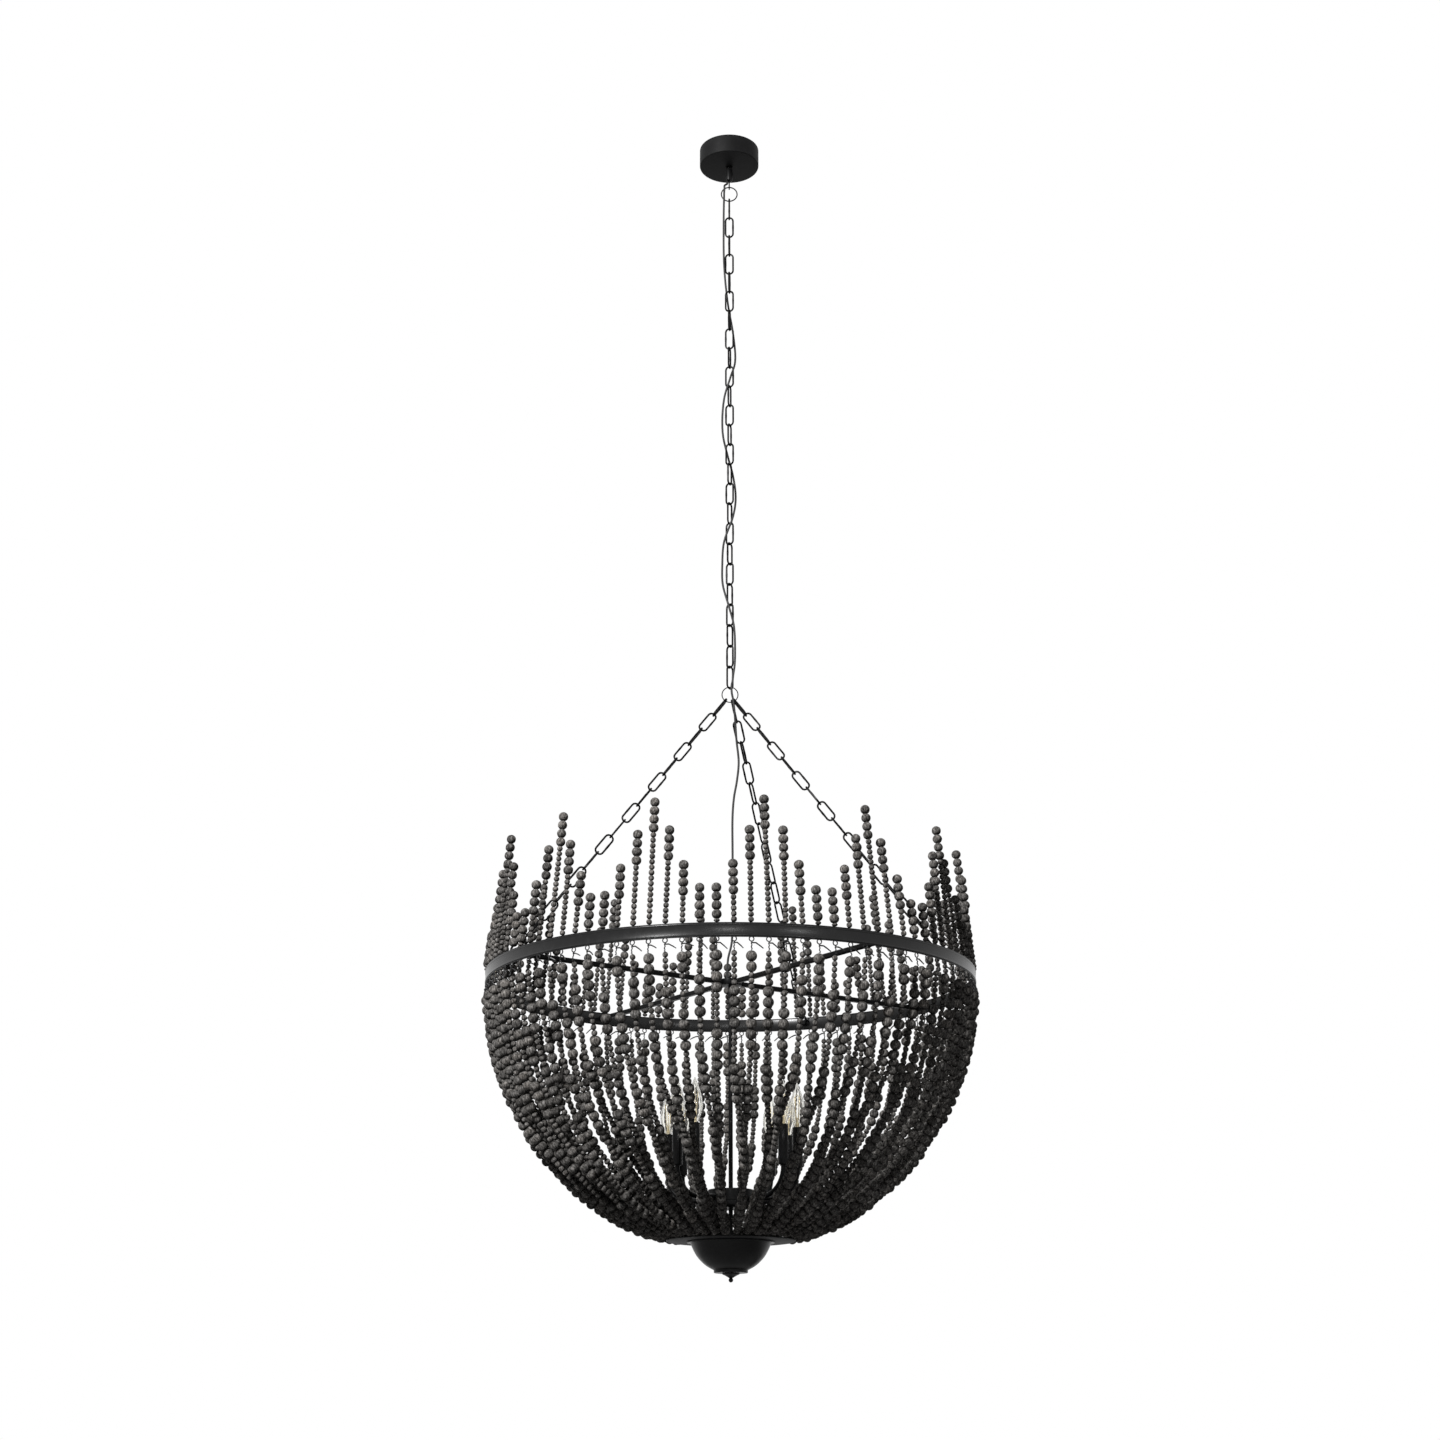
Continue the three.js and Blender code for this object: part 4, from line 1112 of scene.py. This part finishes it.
def bead_tone():
    return float(np.clip(chance.normal(0.5, 0.26), 0, 1))


def strand_angle(index):
    return CROWN_START + index * FULL / STRANDS


def hoop(level):
    """A ring of wire that the strands are tied to."""
    line = [polar(SPINE_RADIUS, FULL * step / HOOP_STEPS, level) for step in range(HOOP_STEPS)]
    return sweep(line, HOOP_WIRE / 2, 8, closed=True)


# Crown: small beads below, four large ones on top, leaning in
CROWN_BASE = BAND_TOP - RING + 0.0035
crown_wires = Skin()
for part in range(CROWN_PARTS):
    crown = Skin()
    for index in range(part * STRANDS // CROWN_PARTS, (part + 1) * STRANDS // CROWN_PARTS):
        angle = strand_angle(index) + (chance.random() - 0.5) * 0.004
        height = CROWN_HEIGHTS[index % PERIOD] + (chance.random() - 0.5) * 0.005
        lean = CROWN_LEAN + math.radians((chance.random() - 0.5) * 1.6)
        sway = math.radians((chance.random() - 0.5) * 2.2)
        inward = -polar(1, angle, 0)
        sideways = along_ring(angle)
        foot = polar(SPINE_RADIUS, angle, RING)

        def crown_point(rise, foot=foot, lean=lean, sway=sway, inward=inward, sideways=sideways):
            return foot + UP * rise + inward * rise * math.tan(lean) + sideways * rise * math.tan(sway)

        axis = unit(crown_point(1) - crown_point(0))
        strand_tone = bead_tone() * STRAND_SHARE
        rise = height
        for _ in range(CROWN_LARGE_BEADS):
            tone = strand_tone + bead_tone() * BEAD_SHARE
            add_bead(crown, crown_point(rise), axis, CROWN_LARGE, tone)
            rise -= CROWN_LARGE[1] * axis[2]
        left = rise + CROWN_LARGE[1] / 2 - CROWN_BASE
        small = int(round(left / CROWN_SMALL[1]))
        if small > 0:
            pitch = left / small
            for step in range(small):
                low = CROWN_BASE + pitch * (step + 0.5)
                size = (CROWN_SMALL[0], pitch)
                tone = strand_tone + bead_tone() * BEAD_SHARE
                add_bead(crown, crown_point(low), axis, size, tone)
        hoop_rise = BAND_TOP - RING + HOOP_WIRE / 2
        top_rise = height + CROWN_LARGE[1] / 2 + 0.0006
        crown_wires.take(sweep([crown_point(hoop_rise), crown_point(top_rise)], STRAND_WIRE / 2, 6))
    crown.piece(f"crown_{part + 1}", "light", WOOD, "bead_wood", (f"crown_beads_{part + 1}",), sharp=0)

crown_wires.take(hoop(BAND_TOP + HOOP_WIRE / 2))
crown_wires.piece("crown_wires", "light", WIRE, "dark_iron")

# Bowl: each strand hangs from a wire loop under the band and follows the bowl to the plate
HOOP_LEVEL = BAND_BOTTOM - HOOP_WIRE / 2
LOOP_MEAN = 0.0048
EYELET_CENTRE = HOOP_LEVEL - HOOP_WIRE / 2 - LOOP_MEAN + STRAND_WIRE
FIRST_BEAD_TOP = RING - 0.0405
START_DIP = math.asin((RING - FIRST_BEAD_TOP) / BOWL_DEPTH)
PATH_STEPS = 110
END_STEPS = 16
SMALL_ONLY_RADIUS = 0.165


def bowl_path(index):
    """The middle line of a hanging strand, from its first bead to the plate."""
    spot = index % PERIOD
    own = strand_angle(index)
    column = index // PERIOD * 3 + COLUMN_OF[spot]
    place = PLACE_IN_COLUMN[spot]
    column_angle = COLUMN_START + column * COLUMN_PITCH
    wave_side, wave_phase = chance.random() * 0.0022, chance.random() * FULL
    line = []
    for step in range(PATH_STEPS + 1):
        way = step / PATH_STEPS
        dip = START_DIP + (BOWL_TURN - START_DIP) * way
        inward = COLUMN_STEP * place * smooth((way - 0.26) / 0.42)
        angle = own + (column_angle - own) * smooth((way - 0.3) / 0.44)
        lean = math.atan2(BOWL_RADIUS * math.sin(dip), BOWL_DEPTH * math.cos(dip))
        normal = polar(math.cos(lean), angle, -math.sin(lean))
        sideways = along_ring(angle)
        centre = polar(BOWL_RADIUS * math.cos(dip), angle, RING - BOWL_DEPTH * math.sin(dip))
        wave = wave_side * math.sin(wave_phase + 9 * way) * math.sin(math.pi * way)
        line.append(centre - normal * inward + sideways * wave)
    end_level = plate_high.z + 0.0068 + place * 0.0128
    last = line[-1]
    last_radius = math.hypot(last[0], last[1])
    drop_share = BOWL_DEPTH * math.cos(BOWL_TURN) / (BOWL_RADIUS * math.sin(BOWL_TURN))
    turn_radius = max(last_radius - (last[2] - end_level) / drop_share, END_RADIUS + 0.01)
    corner = polar(turn_radius, column_angle, end_level)
    end = polar(END_RADIUS, column_angle, end_level)
    for step in range(1, END_STEPS + 1):
        t = step / END_STEPS
        line.append((1 - t) ** 2 * last + 2 * t * (1 - t) * corner + t * t * end)
    return line


def add_hook(skin, angle):
    """The wire loop under the hoop, its twisted neck and its loose tail."""
    sideways = along_ring(angle)
    outward = polar(1, angle, 0)
    centre = polar(SPINE_RADIUS, angle, EYELET_CENTRE)
    skin.take(sweep(circle(centre, LOOP_MEAN, sideways, UP, 16), HOOK_WIRE / 2, 6, closed=True))
    neck_top = EYELET_CENTRE - LOOP_MEAN
    twist = []
    for step in range(TWIST_STEPS + 1):
        turn = step * FULL / 5
        level = neck_top + (FIRST_BEAD_TOP - 0.002 - neck_top) * step / TWIST_STEPS
        middle = polar(SPINE_RADIUS + 0.003 * step / TWIST_STEPS, angle, level)
        twist.append(middle + 0.0007 * (sideways * math.cos(turn) + outward * math.sin(turn)))
    skin.take(sweep(twist, HOOK_WIRE / 2, 6))
    size = 0.016 + chance.random() * 0.009
    drop = 0.006 + chance.random() * 0.008
    swing = (chance.random() - 0.35) * 0.012
    root = polar(SPINE_RADIUS, angle, neck_top - 0.003)
    tail = [
        root,
        root + sideways * size * 0.35 + outward * 0.002 - UP * 0.0005,
        root + sideways * size * 0.7 + outward * swing * 0.6 - UP * drop * 0.5,
        root + sideways * size + outward * swing - UP * drop,
    ]
    skin.take(sweep(tail, [TAIL_WIRE / 2, TAIL_WIRE / 2, TAIL_WIRE * 0.45, TAIL_WIRE * 0.35], 6))


hanging_wires = Skin()
for part in range(CURTAIN_PARTS):
    curtain = Skin()
    for index in range(part * STRANDS // CURTAIN_PARTS, (part + 1) * STRANDS // CURTAIN_PARTS):
        line = bowl_path(index)
        places = np.array(line)
        steps = np.linalg.norm(np.diff(places, axis=0), axis=1)
        marks = np.concatenate([[0], np.cumsum(steps)])
        total = marks[-1]
        strand_tone = bead_tone() * STRAND_SHARE
        way = chance.random() * 0.003
        number = RUN_STARTS[index % len(RUN_STARTS)]
        while True:
            near_plate = np.interp(way, marks, np.hypot(places[:, 0], places[:, 1])) < SMALL_ONLY_RADIUS
            kind = BOWL_SMALL if near_plate else BEAD_RUN[number % len(BEAD_RUN)]
            size = [top + (foot - top) * smooth(way / total) for top, foot in zip(*kind)]
            mid = way + size[1] / 2
            if way + size[1] > total:
                break
            centre, ahead, behind = (
                np.array([np.interp(mark, marks, places[:, k]) for k in range(3)])
                for mark in (mid, mid + 0.003, mid - 0.003)
            )
            tone = strand_tone + bead_tone() * BEAD_SHARE
            add_bead(curtain, centre, unit(ahead - behind), size, tone)
            way += size[1]
            number += 1
        hanging_wires.take(sweep(line[::4] + [line[-1]], STRAND_WIRE / 2, 6))
        add_hook(hanging_wires, strand_angle(index))
    node = f"bead_curtain_{part + 1}"
    curtain.piece(f"curtain_{part + 1}", "light", WOOD, "bead_wood", (node,), sharp=0)

hanging_wires.take(hoop(HOOP_LEVEL))
hanging_wires.piece("hanging_wires", "light", WIRE, "dark_iron")


# Stage: a pale floor and soft studio light
FLOOR_LEVEL = -4.3
FLOOR_RADIUS = 4.0
FLOOR_SIDES = 96


def seen_rays(tree):
    """1 for the rays that show the background: straight, in a reflection or through glass."""
    rays = tree.nodes.new("ShaderNodeLightPath")
    seen = maths(tree, "MAXIMUM", rays.outputs["Is Camera Ray"], rays.outputs["Is Glossy Ray"])
    return maths(tree, "MAXIMUM", seen, rays.outputs["Is Transmission Ray"])


def stage_material():
    material = bpy.data.materials.new("pale_floor")
    material.use_nodes = True
    tree = material.node_tree
    shader = tree.nodes["Principled BSDF"]
    color = mixed(tree, "MIX", seen_rays(tree), [0.2, 0.2, 0.2, 1.0], [0.85, 0.85, 0.85, 1.0])
    paint(tree, shader, color)
    shader.inputs["Roughness"].default_value = 0.9
    return material


floor_mesh = bpy.data.meshes.new("floor")
floor_mesh.from_pydata(
    [tuple(polar(FLOOR_RADIUS, FULL * step / FLOOR_SIDES, FLOOR_LEVEL)) for step in range(FLOOR_SIDES)],
    [],
    [tuple(range(FLOOR_SIDES))],
)
floor_mesh.materials.append(stage_material())
floor = placed("floor", floor_mesh)

world = bpy.data.worlds.new("studio")
bpy.context.scene.world = world
world.use_nodes = True
sky = world.node_tree
background = sky.nodes["Background"]
direction = sky.nodes.new("ShaderNodeTexCoord")
split = sky.nodes.new("ShaderNodeSeparateXYZ")
sky.links.new(direction.outputs["Generated"], split.inputs["Vector"])
rise = maths(sky, "MULTIPLY_ADD", split.outputs["Z"], 0.5, 0.5)
glow = ramp(sky, rise, [(0.35, (0.005, 0.005, 0.005)), (0.9, (0.18, 0.18, 0.18))])
sky.links.new(mixed(sky, "MIX", seen_rays(sky), glow, [1.0, 1.0, 1.0, 1.0]), background.inputs["Color"])
background.inputs["Strength"].default_value = 1.0


def soft_lamp(name, place, target, size, power):
    data = bpy.data.lights.new(name, "AREA")
    data.shape = "DISK"
    data.size = size
    data.energy = power
    lamp = placed(name, data)
    lamp.location = place
    lamp.rotation_euler = (Vector(target) - Vector(place)).to_track_quat("-Z", "Y").to_euler()
    return lamp


middle = (0, 0, RING - 0.2)
soft_lamp("key", (-2.5, -3.8, RING + 2.8), middle, 0.7, 430)
soft_lamp("front", (-0.1, -5.2, RING + 1.03), middle, 0.5, 20)
soft_lamp("side", (2.2, -4.0, RING + 0.9), middle, 0.4, 12)

scene = bpy.context.scene
scene.view_settings.view_transform = "Standard"
